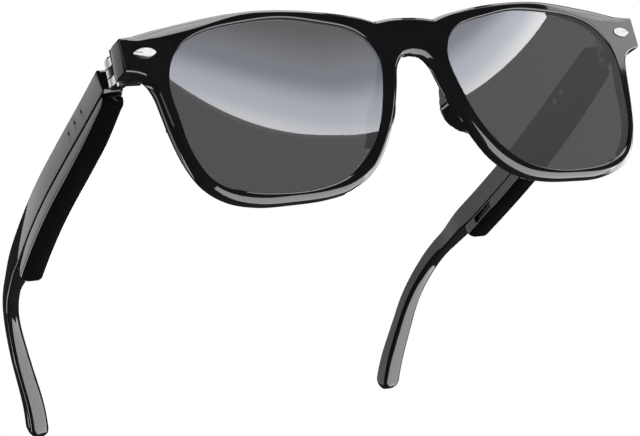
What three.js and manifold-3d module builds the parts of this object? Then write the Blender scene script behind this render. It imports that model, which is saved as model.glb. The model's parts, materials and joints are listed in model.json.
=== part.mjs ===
import * as THREE from 'three';
import { mergeVertices } from 'three/addons/utils/BufferGeometryUtils.js';
import Module from 'manifold-3d';

// Audio sunglasses: a thick square-lens front, two folding temples whose front halves are hollow housings
// for the electronics, and slim curved arms behind the ears.
// Millimetres. +X is the wearer's left, +Y points from the lenses to the ear tips, +Z is up. The origin is on
// the surface that the open glasses stand on, under the middle of their bounding box.
// The pieces of one side are drawn for +X and mirrored for -X.

const wasm = await Module();
wasm.setup();

// ---- Front ----
const LENS_WIDTH = 52.6;
const LENS_HEIGHT = 42.4;
const LENS_GAP = 20.6;          // between the two lens openings
const LENS_TOP = 0.85;          // top of a lens opening, above the end piece corner
const LENS_THICKNESS = 2.0;
const LENS_SEAT = 0.7;          // front face to the lens
const GROOVE_BITE = 0.6;        // how far a lens reaches into its groove
const RIM_SIDE = 3.9;
const RIM_NOSE = 5.0;
const RIM_TOP = 3.0;
const RIM_BOTTOM = 2.9;
const FACE_RADIUS = 424;        // horizontal wrap of the front face
const FRONT_DEPTH = 4.4;
const FRONT_TILT = 6.8;         // degrees, bottom of the front towards the face
const BRIDGE_TOP = -0.1;
const BRIDGE_HEIGHT = 9.6;
const END_REACH = 10.2;         // lens opening to the outer face of an end piece
const END_TOP = -0.4;
const END_HEIGHT = 8.2;
const END_BACK = 12.6;          // front of the bridge to the back face of an end piece
const END_WALL = 7.6;           // width of the end piece block that carries the hinge
const NOSE_PAD = { across: 2.6, deep: 3.6, tall: 9.5, height: -18, back: 4.2, lean: 24, turn: 24 };
const RIVET = { length: 5.8, height: 2.9, depth: 1.2, proud: 0.35, inset: 5.3, drop: 4.3 };

// ---- Hinges ----
const HINGE_INSET = 2.5;        // outer face of an end piece to the hinge axis
const HINGE_REACH = 4.88;       // back face of an end piece to the hinge axis
const HINGE_LEVEL = -0.81;
const KNUCKLE_RADIUS = 2.0;
const KNUCKLE_HEIGHT = 2.0;
const KNUCKLE_TOP = 1.5;
const HINGE_PIN_RADIUS = 0.8;
const LEAF_THICKNESS = 1.1;
const LEAF_WIDTH = 5.6;
const LEAF_LENGTH = 9.5;        // hinge axis to the end of the temple leaf
const TONGUE_HEIGHT = 3.2;      // part of the temple leaf that sits in the slab
const LEAF_DROP = 0.6;          // front leaf below the end piece
const SCREW_RADIUS = 0.7;

// ---- Temples, measured from the hinge axis ----
const TEMPLE_PITCH = -6.3;      // degrees, temples fall towards the ears
const TEMPLE_START = 3.2;
const TEMPLE_TOP = 2.0;
const SLAB_HEIGHT = 6.2;
const SLAB_THICKNESS = 5.8;
const HOUSING_HEIGHT = 11.2;    // slab and cover together
const HOUSING_THICKNESS = 6.6;
const HOUSING_END = 84;
const COVER_START = 4.6;
const ARM_HEIGHT = 5.5;
const ARM_THICKNESS = 3.8;
const ARM_STRAIGHT = 15;        // end of the housing to the bend
const BEND_RADIUS = 38;
const BEND_ANGLE = 45;
const TIP_RADIUS = 3.3;
const TIP_THICKNESS = 5.2;
const TIP_INWARD = 13.4;        // how far the tips turn in
const TEMPLE_BULGE = 1.9;       // how far the housings bow out
const WALL = 1.0;
const CORE_RADIUS = 0.7;

// ---- Electronics ----
const BOARD_BAY = { from: 13.5, to: 35 };
const BATTERY_BAY = { from: 37, to: 64 };
const SPEAKER_BAY = { from: 66.5, to: HOUSING_END - 4 };
const BAY_FLOOR = 1.1;          // cover bottom to the bays
const BAY_ROOF = 1.4;           // slab top to the bays
const BOARD_THICKNESS = 0.8;
const BUTTON = { at: 30.5, length: 5.4, width: 1.7, proud: 0.5, travel: 0.4, flange: 0.5 };
const SWITCH_HEIGHT = 1.2;
const MIC_HOLE_RADIUS = 0.45;
const MIC_HOLES = [17, 21.6, 26.2];
const MIC_DROP = 2.6;
const MIC_SIZE = { across: 0.8, along: 3.6, tall: 2.4 };
const CONTACT = { radius: 0.9, proud: 0.1, first: 20.5, pitch: 4.2, drop: 3.0 };
const LIGHT = { radius: 0.55, at: 15.4, drop: 3.0 };
const GRILLE = { length: 9, height: 1.9, drop: 8.1 };
const GRILLE_THICKNESS = 0.5;

// ---- Clearances ----
const GAP = 0.3;                // between pieces that touch
const PIN_GAP = 0.2;            // between a pin and its bore

const rad = THREE.MathUtils.degToRad;
const FAR = 40;
const HALF_WIDTH = LENS_GAP / 2 + LENS_WIDTH + END_REACH;
const HINGE_BACK = END_BACK + HINGE_REACH;
const BEND_START = HOUSING_END + ARM_STRAIGHT;

// One outline serves the lens openings, the grooves and the rims, in fractions of the lens width and height,
// from the outer edge over the top to the nose and back.
const LENS_SHAPE = [
  [0.5, 0.154], [0.477, 0.289], [0.409, 0.397], [0.308, 0.456], [0.108, 0.492], [-0.065, 0.499],
  [-0.23, 0.463], [-0.403, 0.402], [-0.471, 0.324], [-0.5, 0.211], [-0.464, -0.015], [-0.413, -0.183],
  [-0.348, -0.31], [-0.219, -0.44], [-0.065, -0.494], [0.116, -0.496], [0.276, -0.463], [0.397, -0.383],
  [0.462, -0.225], [0.49, 0.008],
];
const LENS_X = LENS_GAP / 2 + LENS_WIDTH / 2;
const LENS_Z = LENS_TOP - LENS_HEIGHT / 2;

// ---------------------------------------------------------------- solids

function solid(geometry) {
  const bare = geometry.index ? geometry.toNonIndexed() : geometry.clone();
  bare.deleteAttribute('normal');
  bare.deleteAttribute('uv');
  const merged = mergeVertices(bare, 1e-4);
  return new wasm.Manifold(new wasm.Mesh({
    numProp: 3,
    vertProperties: Float32Array.from(merged.attributes.position.array),
    triVerts: Uint32Array.from(merged.index.array),
  }));
}

function surface(body) {
  const mesh = body.getMesh();
  const geometry = new THREE.BufferGeometry();
  const places = new Float32Array(mesh.numVert * 3);
  for (let v = 0; v < mesh.numVert; v += 1) {
    for (let k = 0; k < 3; k += 1) places[3 * v + k] = mesh.vertProperties[mesh.numProp * v + k];
  }
  geometry.setAttribute('position', new THREE.BufferAttribute(places, 3));
  geometry.setIndex(new THREE.BufferAttribute(Uint32Array.from(mesh.triVerts), 1));
  return geometry;
}

const moved = (body, matrix) => solid(surface(body).applyMatrix4(matrix));
const shapeOf = (points) => new THREE.Shape(points.map(([a, b]) => new THREE.Vector2(a, b)));

function extrude(shape, depth) {
  return new THREE.ExtrudeGeometry(shape, { depth, bevelEnabled: false, curveSegments: 10 });
}


// A flat shape drawn in X and Z is run along Y, one in X and Y along Z, one in Y and Z along X.
function alongY(shape, from, to) {
  return solid(extrude(shape, to - from).rotateX(Math.PI / 2).translate(0, to, 0));
}

function alongZ(shape, from, to) {
  return solid(extrude(shape, to - from).translate(0, 0, from));
}

function alongX(shape, from, to) {
  const turn = new THREE.Matrix4().makeBasis(
    new THREE.Vector3(0, 1, 0), new THREE.Vector3(0, 0, 1), new THREE.Vector3(1, 0, 0));
  return solid(extrude(shape, to - from).applyMatrix4(turn).translate(from, 0, 0));
}

function box(x, y, z) {
  const geometry = new THREE.BoxGeometry(x[1] - x[0], y[1] - y[0], z[1] - z[0]);
  return solid(geometry.translate((x[0] + x[1]) / 2, (y[0] + y[1]) / 2, (z[0] + z[1]) / 2));
}

function post(radius, z, sides = 16) {
  const geometry = new THREE.CylinderGeometry(radius, radius, z[1] - z[0], sides);
  return solid(geometry.rotateX(Math.PI / 2).translate(0, 0, (z[0] + z[1]) / 2));
}

function crossPin(radius, x, y, z, sides = 14) {
  const geometry = new THREE.CylinderGeometry(radius, radius, x[1] - x[0], sides);
  return solid(geometry.rotateZ(Math.PI / 2).translate((x[0] + x[1]) / 2, y, z));
}

function spline(points, steps, closed = false) {
  const vectors = points.map(([a, b]) => new THREE.Vector3(a, b, 0));
  const curve = new THREE.CatmullRomCurve3(vectors, closed, 'centripetal');
  const found = curve.getPoints(steps).map((p) => [p.x, p.y]);
  return closed ? found.slice(0, -1) : found;
}

// ---------------------------------------------------------------- front

const front = new THREE.Matrix4().makeRotationX(rad(FRONT_TILT));
const faceY = (x) => x * x / (2 * FACE_RADIUS);

// The lens outline moved outwards by a width that depends on the way the edge faces.
function lensOutline(width) {
  const knots = LENS_SHAPE.map(([u, v]) => [LENS_X + u * LENS_WIDTH, LENS_Z + v * LENS_HEIGHT]);
  const points = spline(knots, 52, true);
  return points.map(([x, z], i) => {
    const before = points[(i + points.length - 1) % points.length];
    const after = points[(i + 1) % points.length];
    const normal = new THREE.Vector2(after[1] - before[1], before[0] - after[0]).normalize();
    const offset = width(normal);
    return [x + normal.x * offset, z + normal.y * offset];
  });
}

function rimWidth(normal) {
  const sideways = normal.x > 0 ? RIM_SIDE : RIM_NOSE;
  const upright = normal.y > 0 ? RIM_TOP : RIM_BOTTOM;
  return sideways * normal.x ** 2 + upright * normal.y ** 2;
}

// A slab bent to the wrap of the front face, between two depths behind it.
function wrappedSlab(near, far, half = HALF_WIDTH + 1) {
  const steps = 22;
  const row = Array.from({ length: steps + 1 }, (_, i) => half * (2 * i / steps - 1));
  const outline = row.map((x) => [x, faceY(x) + near]);
  outline.push(...row.reverse().map((x) => [x, faceY(x) + far]));
  return alongZ(shapeOf(outline), -FAR - LENS_HEIGHT, FAR);
}

function bothSides(body) {
  return body.add(solid(mirrored(surface(body))));
}

function mirrored(geometry) {
  const flipped = geometry.clone().applyMatrix4(new THREE.Matrix4().makeScale(-1, 1, 1));
  const index = flipped.index.array;
  for (let t = 0; t < index.length; t += 3) [index[t], index[t + 1]] = [index[t + 1], index[t]];
  return flipped;
}

function endPieceOutline() {
  const rimTop = LENS_TOP + RIM_TOP;
  const brow = spline([
    [LENS_X + 4, rimTop - 0.4], [LENS_X + 0.45 * (HALF_WIDTH - LENS_X), rimTop - 0.45],
    [HALF_WIDTH - 8, END_TOP + 1.75], [HALF_WIDTH, END_TOP],
  ], 12);
  const under = spline([
    [HALF_WIDTH - 1.2, END_TOP - END_HEIGHT - 0.4], [HALF_WIDTH - 3.4, END_TOP - END_HEIGHT - 1.2],
    [HALF_WIDTH - 4.7, END_TOP - END_HEIGHT - 4], [HALF_WIDTH - 5.3, END_TOP - END_HEIGHT - 10],
  ], 8);
  const inside = LENS_X + LENS_WIDTH / 2;
  const corner = [HALF_WIDTH, END_TOP - END_HEIGHT];
  return [...brow, corner, ...under, [inside, LENS_Z], [inside - 4, LENS_TOP - 4]];
}

function bridgeOutline() {
  const half = LENS_GAP / 2;
  const under = BRIDGE_TOP - BRIDGE_HEIGHT;
  const side = [
    [0.83 * half, BRIDGE_TOP - 0.8], [1.25 * half, BRIDGE_TOP - 2.6], [1.06 * half, under - 4.6],
    [0.56 * half, under - 6.4], [0.45 * half, under - 2.5], [0.27 * half, under - 0.5],
  ];
  const other = side.map(([x, z]) => [-x, z]).reverse();
  return [[0, BRIDGE_TOP], ...side, [0, under], ...other];
}

// A leaf-shaped inlay, round towards the lens and pointed outwards.
function leafOutline(grow) {
  const long = RIVET.length / 2 + grow;
  const high = RIVET.height / 2 + grow;
  return spline([[long, 0.25 * high], [0.35 * long, 0.9 * high], [-0.5 * long, 0.85 * high], [-long, 0],
    [-0.5 * long, -0.85 * high], [0.35 * long, -0.7 * high]], 20, true);
}

const rivetX = HALF_WIDTH - RIVET.inset;
const rivetPlace = new THREE.Matrix4()
  .makeTranslation(rivetX, faceY(rivetX), END_TOP - RIVET.drop)
  .multiply(new THREE.Matrix4().makeRotationZ(Math.atan(rivetX / FACE_RADIUS)));

function frontFrame() {
  const reach = [-5, END_BACK + 5];
  const rim = alongY(shapeOf(lensOutline(rimWidth)), ...reach);
  const flat = bothSides(rim.add(alongY(shapeOf(endPieceOutline()), ...reach)))
    .add(alongY(shapeOf(bridgeOutline()), ...reach));
  const blockX = HALF_WIDTH - END_WALL;
  const block = box([blockX, HALF_WIDTH], [faceY(blockX) + 1, END_BACK], [END_TOP - END_HEIGHT - 0.6, 8]);
  let body = flat.intersect(wrappedSlab(0, FRONT_DEPTH).add(bothSides(block)));
  body = body.add(bothSides(nosePad().subtract(wrappedSlab(-FAR, 1))));
  const opening = alongY(shapeOf(lensOutline(() => 0)), ...reach);
  const groove = alongY(shapeOf(lensOutline(() => GROOVE_BITE + GAP)), ...reach)
    .intersect(wrappedSlab(LENS_SEAT - GAP, LENS_SEAT + LENS_THICKNESS + GAP));
  const pocket = moved(alongY(shapeOf(leafOutline(GAP / 2)), -FAR, RIVET.depth), rivetPlace);
  return moved(body.subtract(bothSides(opening.add(groove).add(pocket).add(leafScrewHole()))), front);
}

// The pads are one with the rims: a soft hump on the back of each, leaning with the nose.
function nosePad() {
  const pad = new THREE.SphereGeometry(1, 12, 8).scale(NOSE_PAD.across, NOSE_PAD.deep, NOSE_PAD.tall);
  pad.rotateY(rad(-NOSE_PAD.lean)).rotateZ(rad(NOSE_PAD.turn));
  return solid(pad.translate(LENS_GAP / 2 - 0.4, NOSE_PAD.back, NOSE_PAD.height));
}

function lens() {
  const blank = alongY(shapeOf(lensOutline(() => GROOVE_BITE)), -5, END_BACK);
  return moved(blank.intersect(wrappedSlab(LENS_SEAT, LENS_SEAT + LENS_THICKNESS)), front);
}

function rivet() {
  const shape = shapeOf(leafOutline(-GAP / 2));
  const stem = alongY(shape, -RIVET.proud / 2, RIVET.depth - GAP);
  const crown = alongY(shapeOf(leafOutline(-GAP / 2 - 0.35)), -RIVET.proud, RIVET.depth - GAP);
  return moved(moved(stem.add(crown), rivetPlace), front);
}

// ---------------------------------------------------------------- hinge

// The hinge pin leans with the front, so a folded temple runs down across the back of the lenses. The temples
// are drawn level, with the hinge at their zero point.
const hingePoint = new THREE.Matrix4().makeTranslation(HALF_WIDTH - HINGE_INSET, HINGE_BACK, HINGE_LEVEL);
const hinge = hingePoint.clone().multiply(front);
const temple = hingePoint.clone().multiply(new THREE.Matrix4().makeRotationX(rad(TEMPLE_PITCH)));
const pinInTemple = new THREE.Matrix4().makeRotationX(rad(FRONT_TILT - TEMPLE_PITCH));

// Three knuckles down the pin: the front leaf holds the outer two, the temple leaf the middle one.
const knuckle = (i) => {
  const top = KNUCKLE_TOP - i * (KNUCKLE_HEIGHT + GAP);
  return [top - KNUCKLE_HEIGHT, top];
};
const LEAF_MIDDLE = (knuckle(1)[0] + knuckle(1)[1]) / 2;
const FIX_Z = END_TOP - END_HEIGHT + 1.2;
const FIX_X = HALF_WIDTH - END_WALL + 1.8;

function leafScrewHole() {
  const from = END_BACK - 2.6;
  const hole = post(SCREW_RADIUS + PIN_GAP, [0, END_BACK + LEAF_THICKNESS + 2 * GAP - from]);
  return moved(hole, new THREE.Matrix4().makeTranslation(FIX_X, from, FIX_Z)
    .multiply(new THREE.Matrix4().makeRotationX(-Math.PI / 2)));
}

function frontLeaf() {
  const near = END_BACK + GAP;
  const right = HALF_WIDTH - 0.9;
  const plate = box([right - LEAF_WIDTH, right], [near, near + LEAF_THICKNESS],
    [END_TOP - END_HEIGHT - LEAF_DROP, END_TOP - 0.3]);
  const base = moved(plate.subtract(leafScrewHole()), front);
  const reachY = near + LEAF_THICKNESS - HINGE_BACK;
  let ears = null;
  for (const level of [knuckle(0), knuckle(2)]) {
    const arm = box([-1.1, KNUCKLE_RADIUS - 0.4], [reachY - 0.9, 0], level);
    const ear = post(KNUCKLE_RADIUS, level).add(arm);
    ears = ears ? ears.add(ear) : ear;
  }
  const bore = post(HINGE_PIN_RADIUS + PIN_GAP, [-FAR, FAR]);
  return base.subtract(frontScrewSeat()).add(moved(ears.subtract(bore), hinge)).subtract(endBlockShadow());
}

// The space just in front of the plate, which the ears' arms may not enter.
function endBlockShadow() {
  return moved(box([0, HALF_WIDTH + 5], [0, END_BACK + GAP], [-FAR, FAR]), front);
}

// The head sinks halfway into the leaf.
const screwLine = new THREE.Matrix4().makeTranslation(FIX_X, 0, FIX_Z)
  .multiply(new THREE.Matrix4().makeRotationX(-Math.PI / 2));
const SCREW_SEAT = END_BACK + GAP + LEAF_THICKNESS * 0.45;
const SCREW_HEAD_RADIUS = 1.3;

function frontScrewSeat() {
  return moved(moved(post(SCREW_HEAD_RADIUS + PIN_GAP, [SCREW_SEAT, FAR]), screwLine), front);
}

function frontLeafScrew() {
  const shank = post(SCREW_RADIUS, [END_BACK - 2.6 + GAP, SCREW_SEAT + 0.4]);
  const head = post(SCREW_HEAD_RADIUS, [SCREW_SEAT + 0.1, SCREW_SEAT + 0.7]);
  return moved(moved(shank.add(head), screwLine), front);
}

function templeLeaf() {
  const level = knuckle(1);
  const eye = moved(post(KNUCKLE_RADIUS, level), pinInTemple);
  const arm = box([-LEAF_THICKNESS, LEAF_THICKNESS], [HINGE_PIN_RADIUS, TEMPLE_START + 2],
    [level[0] + 0.4, level[1] - 0.4]);
  const tongue = box([-LEAF_THICKNESS / 2, LEAF_THICKNESS / 2], [TEMPLE_START + 0.8, LEAF_LENGTH],
    [LEAF_MIDDLE - TONGUE_HEIGHT / 2, LEAF_MIDDLE + TONGUE_HEIGHT / 2]);
  const bore = moved(post(HINGE_PIN_RADIUS + PIN_GAP, [-FAR, FAR]), pinInTemple);
  return eye.add(arm).add(tongue).subtract(bore).subtract(templeLeafHole());
}

const LEAF_SCREW_Y = LEAF_LENGTH - 2.2;

function templeLeafHole() {
  return crossPin(SCREW_RADIUS + PIN_GAP, [-FAR, LEAF_THICKNESS / 2 + 0.2], LEAF_SCREW_Y, LEAF_MIDDLE);
}

function templeLeafScrew() {
  const face = innerX(LEAF_SCREW_Y, SLAB_THICKNESS);
  const shank = crossPin(SCREW_RADIUS, [face + 0.2, LEAF_THICKNESS / 2], LEAF_SCREW_Y, LEAF_MIDDLE);
  const head = crossPin(SCREW_RADIUS * 1.7, [face + 0.1, face + 0.7], LEAF_SCREW_Y, LEAF_MIDDLE);
  return shank.add(head);
}

function hingeScrew() {
  const bottom = knuckle(2)[0];
  const shank = post(HINGE_PIN_RADIUS, [bottom + 0.1, KNUCKLE_TOP + 0.4]);
  const head = post(HINGE_PIN_RADIUS * 1.9, [KNUCKLE_TOP + 0.2, KNUCKLE_TOP + 0.8]);
  const slot = box([-FAR, FAR], [-0.2, 0.2], [KNUCKLE_TOP + 0.55, FAR]);
  return shank.add(head).subtract(slot);
}

// ---------------------------------------------------------------- temple

// Outer face of a temple in plan: bowed along the housing, turned in behind the ear.
const tipY = BEND_START + BEND_RADIUS + 14;
const OUTER_FACE = new THREE.CatmullRomCurve3([
  [0, HINGE_INSET + 0.1], [18, HINGE_INSET + 0.75], [34, HINGE_INSET + 0.78 * TEMPLE_BULGE],
  [50, HINGE_INSET + TEMPLE_BULGE], [66, HINGE_INSET + 0.75 * TEMPLE_BULGE], [HOUSING_END, HINGE_INSET],
  [BEND_START - 3, HINGE_INSET - 0.13 * TIP_INWARD], [BEND_START + 11, HINGE_INSET - 0.32 * TIP_INWARD],
  [BEND_START + 24, HINGE_INSET - 0.6 * TIP_INWARD], [BEND_START + 36, HINGE_INSET - 0.92 * TIP_INWARD],
  [BEND_START + 43, HINGE_INSET - TIP_INWARD], [tipY, HINGE_INSET - TIP_INWARD],
].map(([y, x]) => new THREE.Vector3(x, y, 0)), false, 'centripetal').getPoints(70);

function outerX(y) {
  const after = OUTER_FACE.findIndex((p) => p.y >= y);
  if (after <= 0) return OUTER_FACE[after < 0 ? OUTER_FACE.length - 1 : 0].x;
  const a = OUTER_FACE[after - 1];
  const b = OUTER_FACE[after];
  return THREE.MathUtils.lerp(a.x, b.x, (y - a.y) / (b.y - a.y));
}

function slabThickness(y) {
  const slim = THREE.MathUtils.smoothstep(y, HOUSING_END, BEND_START);
  const full = THREE.MathUtils.smoothstep(y, BEND_START + 10, BEND_START + 34);
  return SLAB_THICKNESS + (ARM_THICKNESS - SLAB_THICKNESS) * slim + (TIP_THICKNESS - ARM_THICKNESS) * full;
}

const innerX = (y, thickness) => outerX(y) - thickness;

// A plan band between the outer face and an inner face, for y between two stations.
function planBand(from, to, thickness, steps, chamfer = 0) {
  const row = Array.from({ length: steps + 1 }, (_, i) => from + (to - from) * i / steps);
  const outline = row.map((y) => [outerX(y), y]);
  const inner = row.reverse().map((y) => [innerX(y, thickness(y)), y]);
  if (chamfer > 0) {
    inner.pop();
    const corner = innerX(from, thickness(from));
    inner.push([corner, from + chamfer], [corner + chamfer, from]);
  }
  return shapeOf([...outline, ...inner]);
}

// How low the straight tip runs is set by the rims, so that the glasses stand level on rims and tips.
const frontSurface = surface(frontFrame());
frontSurface.computeBoundingBox();
const standLevel = frontSurface.boundingBox.min.z;
const bend = rad(BEND_ANGLE);
const bendMiddle = [BEND_START, TEMPLE_TOP - BEND_RADIUS];
const armLine = BEND_RADIUS - ARM_HEIGHT / 2;
const pitch = rad(TEMPLE_PITCH);
const bendEnd = [bendMiddle[0] + armLine * Math.sin(bend), bendMiddle[1] + armLine * Math.cos(bend)];
const heightAt = (y, z) => HINGE_LEVEL + y * Math.sin(pitch) + z * Math.cos(pitch);
const tipLength = (heightAt(...bendEnd) - TIP_RADIUS - standLevel) / Math.sin(bend - pitch);
const tipMiddle = [bendEnd[0] + tipLength * Math.cos(bend), bendEnd[1] - tipLength * Math.sin(bend)];

function slabProfile() {
  const shape = new THREE.Shape();
  const bottom = TEMPLE_TOP - SLAB_HEIGHT;
  shape.moveTo(TEMPLE_START, bottom);
  shape.lineTo(TEMPLE_START, TEMPLE_TOP - 0.8);
  shape.lineTo(TEMPLE_START + 0.8, TEMPLE_TOP);
  shape.lineTo(BEND_START, TEMPLE_TOP);
  shape.absarc(...bendMiddle, BEND_RADIUS, Math.PI / 2, Math.PI / 2 - bend, true);
  shape.absarc(...tipMiddle, TIP_RADIUS, Math.PI / 2 - bend, -Math.PI / 2 - bend, true);
  shape.absarc(...bendMiddle, BEND_RADIUS - ARM_HEIGHT, Math.PI / 2 - bend, Math.PI / 2, false);
  shape.lineTo(HOUSING_END + 4, TEMPLE_TOP - ARM_HEIGHT);
  shape.lineTo(HOUSING_END - 2, bottom);
  return shape;
}

const coverTop = TEMPLE_TOP - SLAB_HEIGHT - GAP;
const coverBottom = TEMPLE_TOP - HOUSING_HEIGHT;

function coverProfile() {
  const round = coverTop - coverBottom;
  const belly = spline([[COVER_START, coverTop - 0.22 * round], [COVER_START + 1.4, coverTop - 0.42 * round],
    [9, coverTop - 0.53 * round], [21, coverTop - 0.81 * round], [34, coverTop - 0.97 * round],
    [44, coverBottom]], 12);
  const shape = new THREE.Shape(belly.map(([y, z]) => new THREE.Vector2(y, z)));
  shape.lineTo(HOUSING_END - round, coverBottom);
  shape.absellipse(HOUSING_END - round, coverTop, round, round, -Math.PI / 2, 0, false);
  shape.lineTo(COVER_START, coverTop);
  return shape;
}

// A straight bay for electronics, as wide as the bowed walls leave over its length.
function bayBox(bay, shrink = 0) {
  const row = Array.from({ length: 9 }, (_, i) => THREE.MathUtils.lerp(bay.from, bay.to, i / 8));
  const outer = Math.min(...row.map((y) => outerX(y))) - WALL;
  const inner = Math.max(...row.map((y) => innerX(y, SLAB_THICKNESS))) + WALL;
  return {
    x: [inner + shrink, outer - shrink],
    y: [bay.from + shrink, bay.to - shrink],
    z: [bayFloor(bay.from) + shrink, TEMPLE_TOP - BAY_ROOF - shrink],
  };
}

function bayFloor(y) {
  const rise = THREE.MathUtils.smoothstep(34 - y, 0, 28);
  return coverBottom + BAY_FLOOR + 0.75 * (coverTop - coverBottom) * rise;
}

const bay = (place, shrink = 0) => {
  const room = bayBox(place, shrink);
  return box(room.x, room.y, room.z);
};

const allBays = () => bay(BOARD_BAY).add(bay(BATTERY_BAY)).add(bay(SPEAKER_BAY));

// Middle line of the arm, from the housing to the tip.
function coreLine() {
  const points = [];
  const at = (y, z) => points.push(new THREE.Vector3(outerX(y) - slabThickness(y) / 2, y, z));
  const middle = TEMPLE_TOP - ARM_HEIGHT / 2;
  at(SPEAKER_BAY.to - 1, middle);
  at(HOUSING_END + 5, middle);
  for (let i = 0; i <= 4; i += 1) {
    const turn = bend * i / 4;
    at(bendMiddle[0] + armLine * Math.sin(turn), bendMiddle[1] + armLine * Math.cos(turn));
  }
  at(...[0, 1].map((k) => THREE.MathUtils.lerp(bendEnd[k], tipMiddle[k], 0.85)));
  return new THREE.CatmullRomCurve3(points, false, 'centripetal');
}

function coreTube(radius, trim) {
  const line = coreLine();
  const knots = Array.from({ length: 13 }, (_, i) => line.getPointAt(trim + (1 - 2 * trim) * i / 12));
  const path = new THREE.CatmullRomCurve3(knots, false, 'centripetal');
  const circle = new THREE.Shape().absarc(0, 0, radius, 0, 2 * Math.PI, false);
  return solid(new THREE.ExtrudeGeometry(circle, { steps: 14, extrudePath: path, curveSegments: 4 }));
}

function buttonSlot(grow) {
  const middle = buttonX();
  return box([middle - BUTTON.width / 2 - grow, middle + BUTTON.width / 2 + grow],
    [BUTTON.at - BUTTON.length / 2 - grow, BUTTON.at + BUTTON.length / 2 + grow],
    [TEMPLE_TOP - BAY_ROOF - 1, FAR]);
}

function buttonX() {
  const room = bayBox(BOARD_BAY);
  return (room.x[0] + room.x[1]) / 2;
}

const contactY = (i) => CONTACT.first + i * CONTACT.pitch;
const contactZ = TEMPLE_TOP - CONTACT.drop;
const throughInner = (radius, y, z) => crossPin(radius, [-FAR, bayBox(BOARD_BAY).x[0] + 0.2], y, z);

function templeShell() {
  const slab = alongX(slabProfile(), -FAR, FAR)
    .intersect(alongZ(planBand(TEMPLE_START, tipY - 4, slabThickness, 44, 1.3), -FAR * 2, FAR));
  const pocket = box([-LEAF_THICKNESS / 2 - GAP, LEAF_THICKNESS / 2 + GAP], [-1, LEAF_LENGTH + GAP],
    [LEAF_MIDDLE - TONGUE_HEIGHT / 2 - GAP, LEAF_MIDDLE + TONGUE_HEIGHT / 2 + GAP]);
  const mouth = box([-LEAF_THICKNESS - GAP, LEAF_THICKNESS + GAP], [-1, TEMPLE_START + 2 + GAP],
    [knuckle(1)[0] - GAP, knuckle(1)[1] + GAP]);
  const face = innerX(LEAF_SCREW_Y, SLAB_THICKNESS);
  const sink = crossPin(SCREW_RADIUS * 1.7 + PIN_GAP, [-FAR, face + 0.9], LEAF_SCREW_Y, LEAF_MIDDLE);
  let body = slab.subtract(pocket).subtract(mouth).subtract(templeLeafHole()).subtract(sink)
    .subtract(allBays()).subtract(coreTube(CORE_RADIUS + GAP, 0)).subtract(buttonSlot(GAP));
  const micDepth = bayBox(BOARD_BAY).x[1] - 0.5;
  for (const y of MIC_HOLES) {
    body = body.subtract(crossPin(MIC_HOLE_RADIUS, [micDepth, FAR], y, TEMPLE_TOP - MIC_DROP, 10));
  }
  for (const i of [0, 1]) body = body.subtract(throughInner(CONTACT.radius + PIN_GAP, contactY(i), contactZ));
  return body.subtract(throughInner(LIGHT.radius + PIN_GAP, LIGHT.at, TEMPLE_TOP - LIGHT.drop));
}

function templeCover() {
  const thick = () => HOUSING_THICKNESS;
  const body = alongX(coverProfile(), -FAR, FAR)
    .intersect(alongZ(planBand(COVER_START, HOUSING_END, thick, 22, 1.3), -FAR, FAR));
  return body.subtract(allBays()).subtract(grilleSlot(0));
}

const grilleY = (SPEAKER_BAY.from + SPEAKER_BAY.to) / 2;
const grilleZ = TEMPLE_TOP - GRILLE.drop;

function grilleSlot(shrink) {
  const long = GRILLE.length / 2 - shrink;
  const high = GRILLE.height / 2 - shrink;
  const deep = bayBox(SPEAKER_BAY).x[0] + 1;
  return box([-FAR, deep], [grilleY - long, grilleY + long], [grilleZ - high, grilleZ + high]);
}

function speakerGrille() {
  const faces = [-1, 0, 1].map((k) => innerX(grilleY + k * GRILLE.length / 2, HOUSING_THICKNESS));
  const near = Math.max(...faces) + 0.2;
  const slots = 7;
  let body = grilleSlot(GAP).intersect(box([near, near + GRILLE_THICKNESS], [0, FAR * 3], [-FAR, FAR]));
  for (let i = 0; i < slots; i += 1) {
    const y = grilleY + (i - (slots - 1) / 2) * (GRILLE.length - 1.6) / slots;
    body = body.subtract(box([-FAR, FAR], [y - 0.25, y + 0.25], [grilleZ - 0.4, grilleZ + 0.4]));
  }
  return body;
}

// ---------------------------------------------------------------- electronics

function circuitBoard() {
  const room = bayBox(BOARD_BAY, GAP);
  const near = room.x[0] + 0.2;
  return box([near, near + BOARD_THICKNESS], room.y, [room.z[0], contactZ - CONTACT.radius - 0.5]);
}

function boardChip() {
  const room = bayBox(BOARD_BAY, GAP);
  const x = room.x[0] + 0.2 + BOARD_THICKNESS + GAP;
  const far = Math.min(x + 0.9, room.x[1]);
  return box([x, far], [BOARD_BAY.from + 4, BOARD_BAY.from + 9], [room.z[0] + 0.3, room.z[0] + 2.6]);
}

const battery = () => bay(BATTERY_BAY, GAP);

function speaker() {
  const room = bayBox(SPEAKER_BAY, GAP);
  const middle = (room.x[0] + room.x[1]) / 2;
  const top = room.z[1] - 3.4;
  const can = box([room.x[0] + 0.3, room.x[1]], [room.y[0] + 0.8, room.y[1] - 2.2], [room.z[0], top]);
  return can.add(box([middle - 0.7, middle + 0.7], [grilleY - 3, grilleY + 2], [top - 0.2, top + 0.8]));
}

function button() {
  const middle = buttonX();
  const roof = TEMPLE_TOP - BAY_ROOF - GAP;
  const height = box([-FAR, FAR], [0, FAR * 3], [roof - BUTTON.flange, TEMPLE_TOP + BUTTON.proud]);
  const wide = BUTTON.width / 2 + 0.4;
  const long = BUTTON.length / 2 + 0.5;
  const room = bayBox(BOARD_BAY, GAP).x;
  const flange = box([Math.max(room[0], middle - wide), Math.min(room[1], middle + wide)],
    [BUTTON.at - long, BUTTON.at + long], [roof - BUTTON.flange, roof]);
  return buttonSlot(0).intersect(height).add(flange);
}

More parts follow.
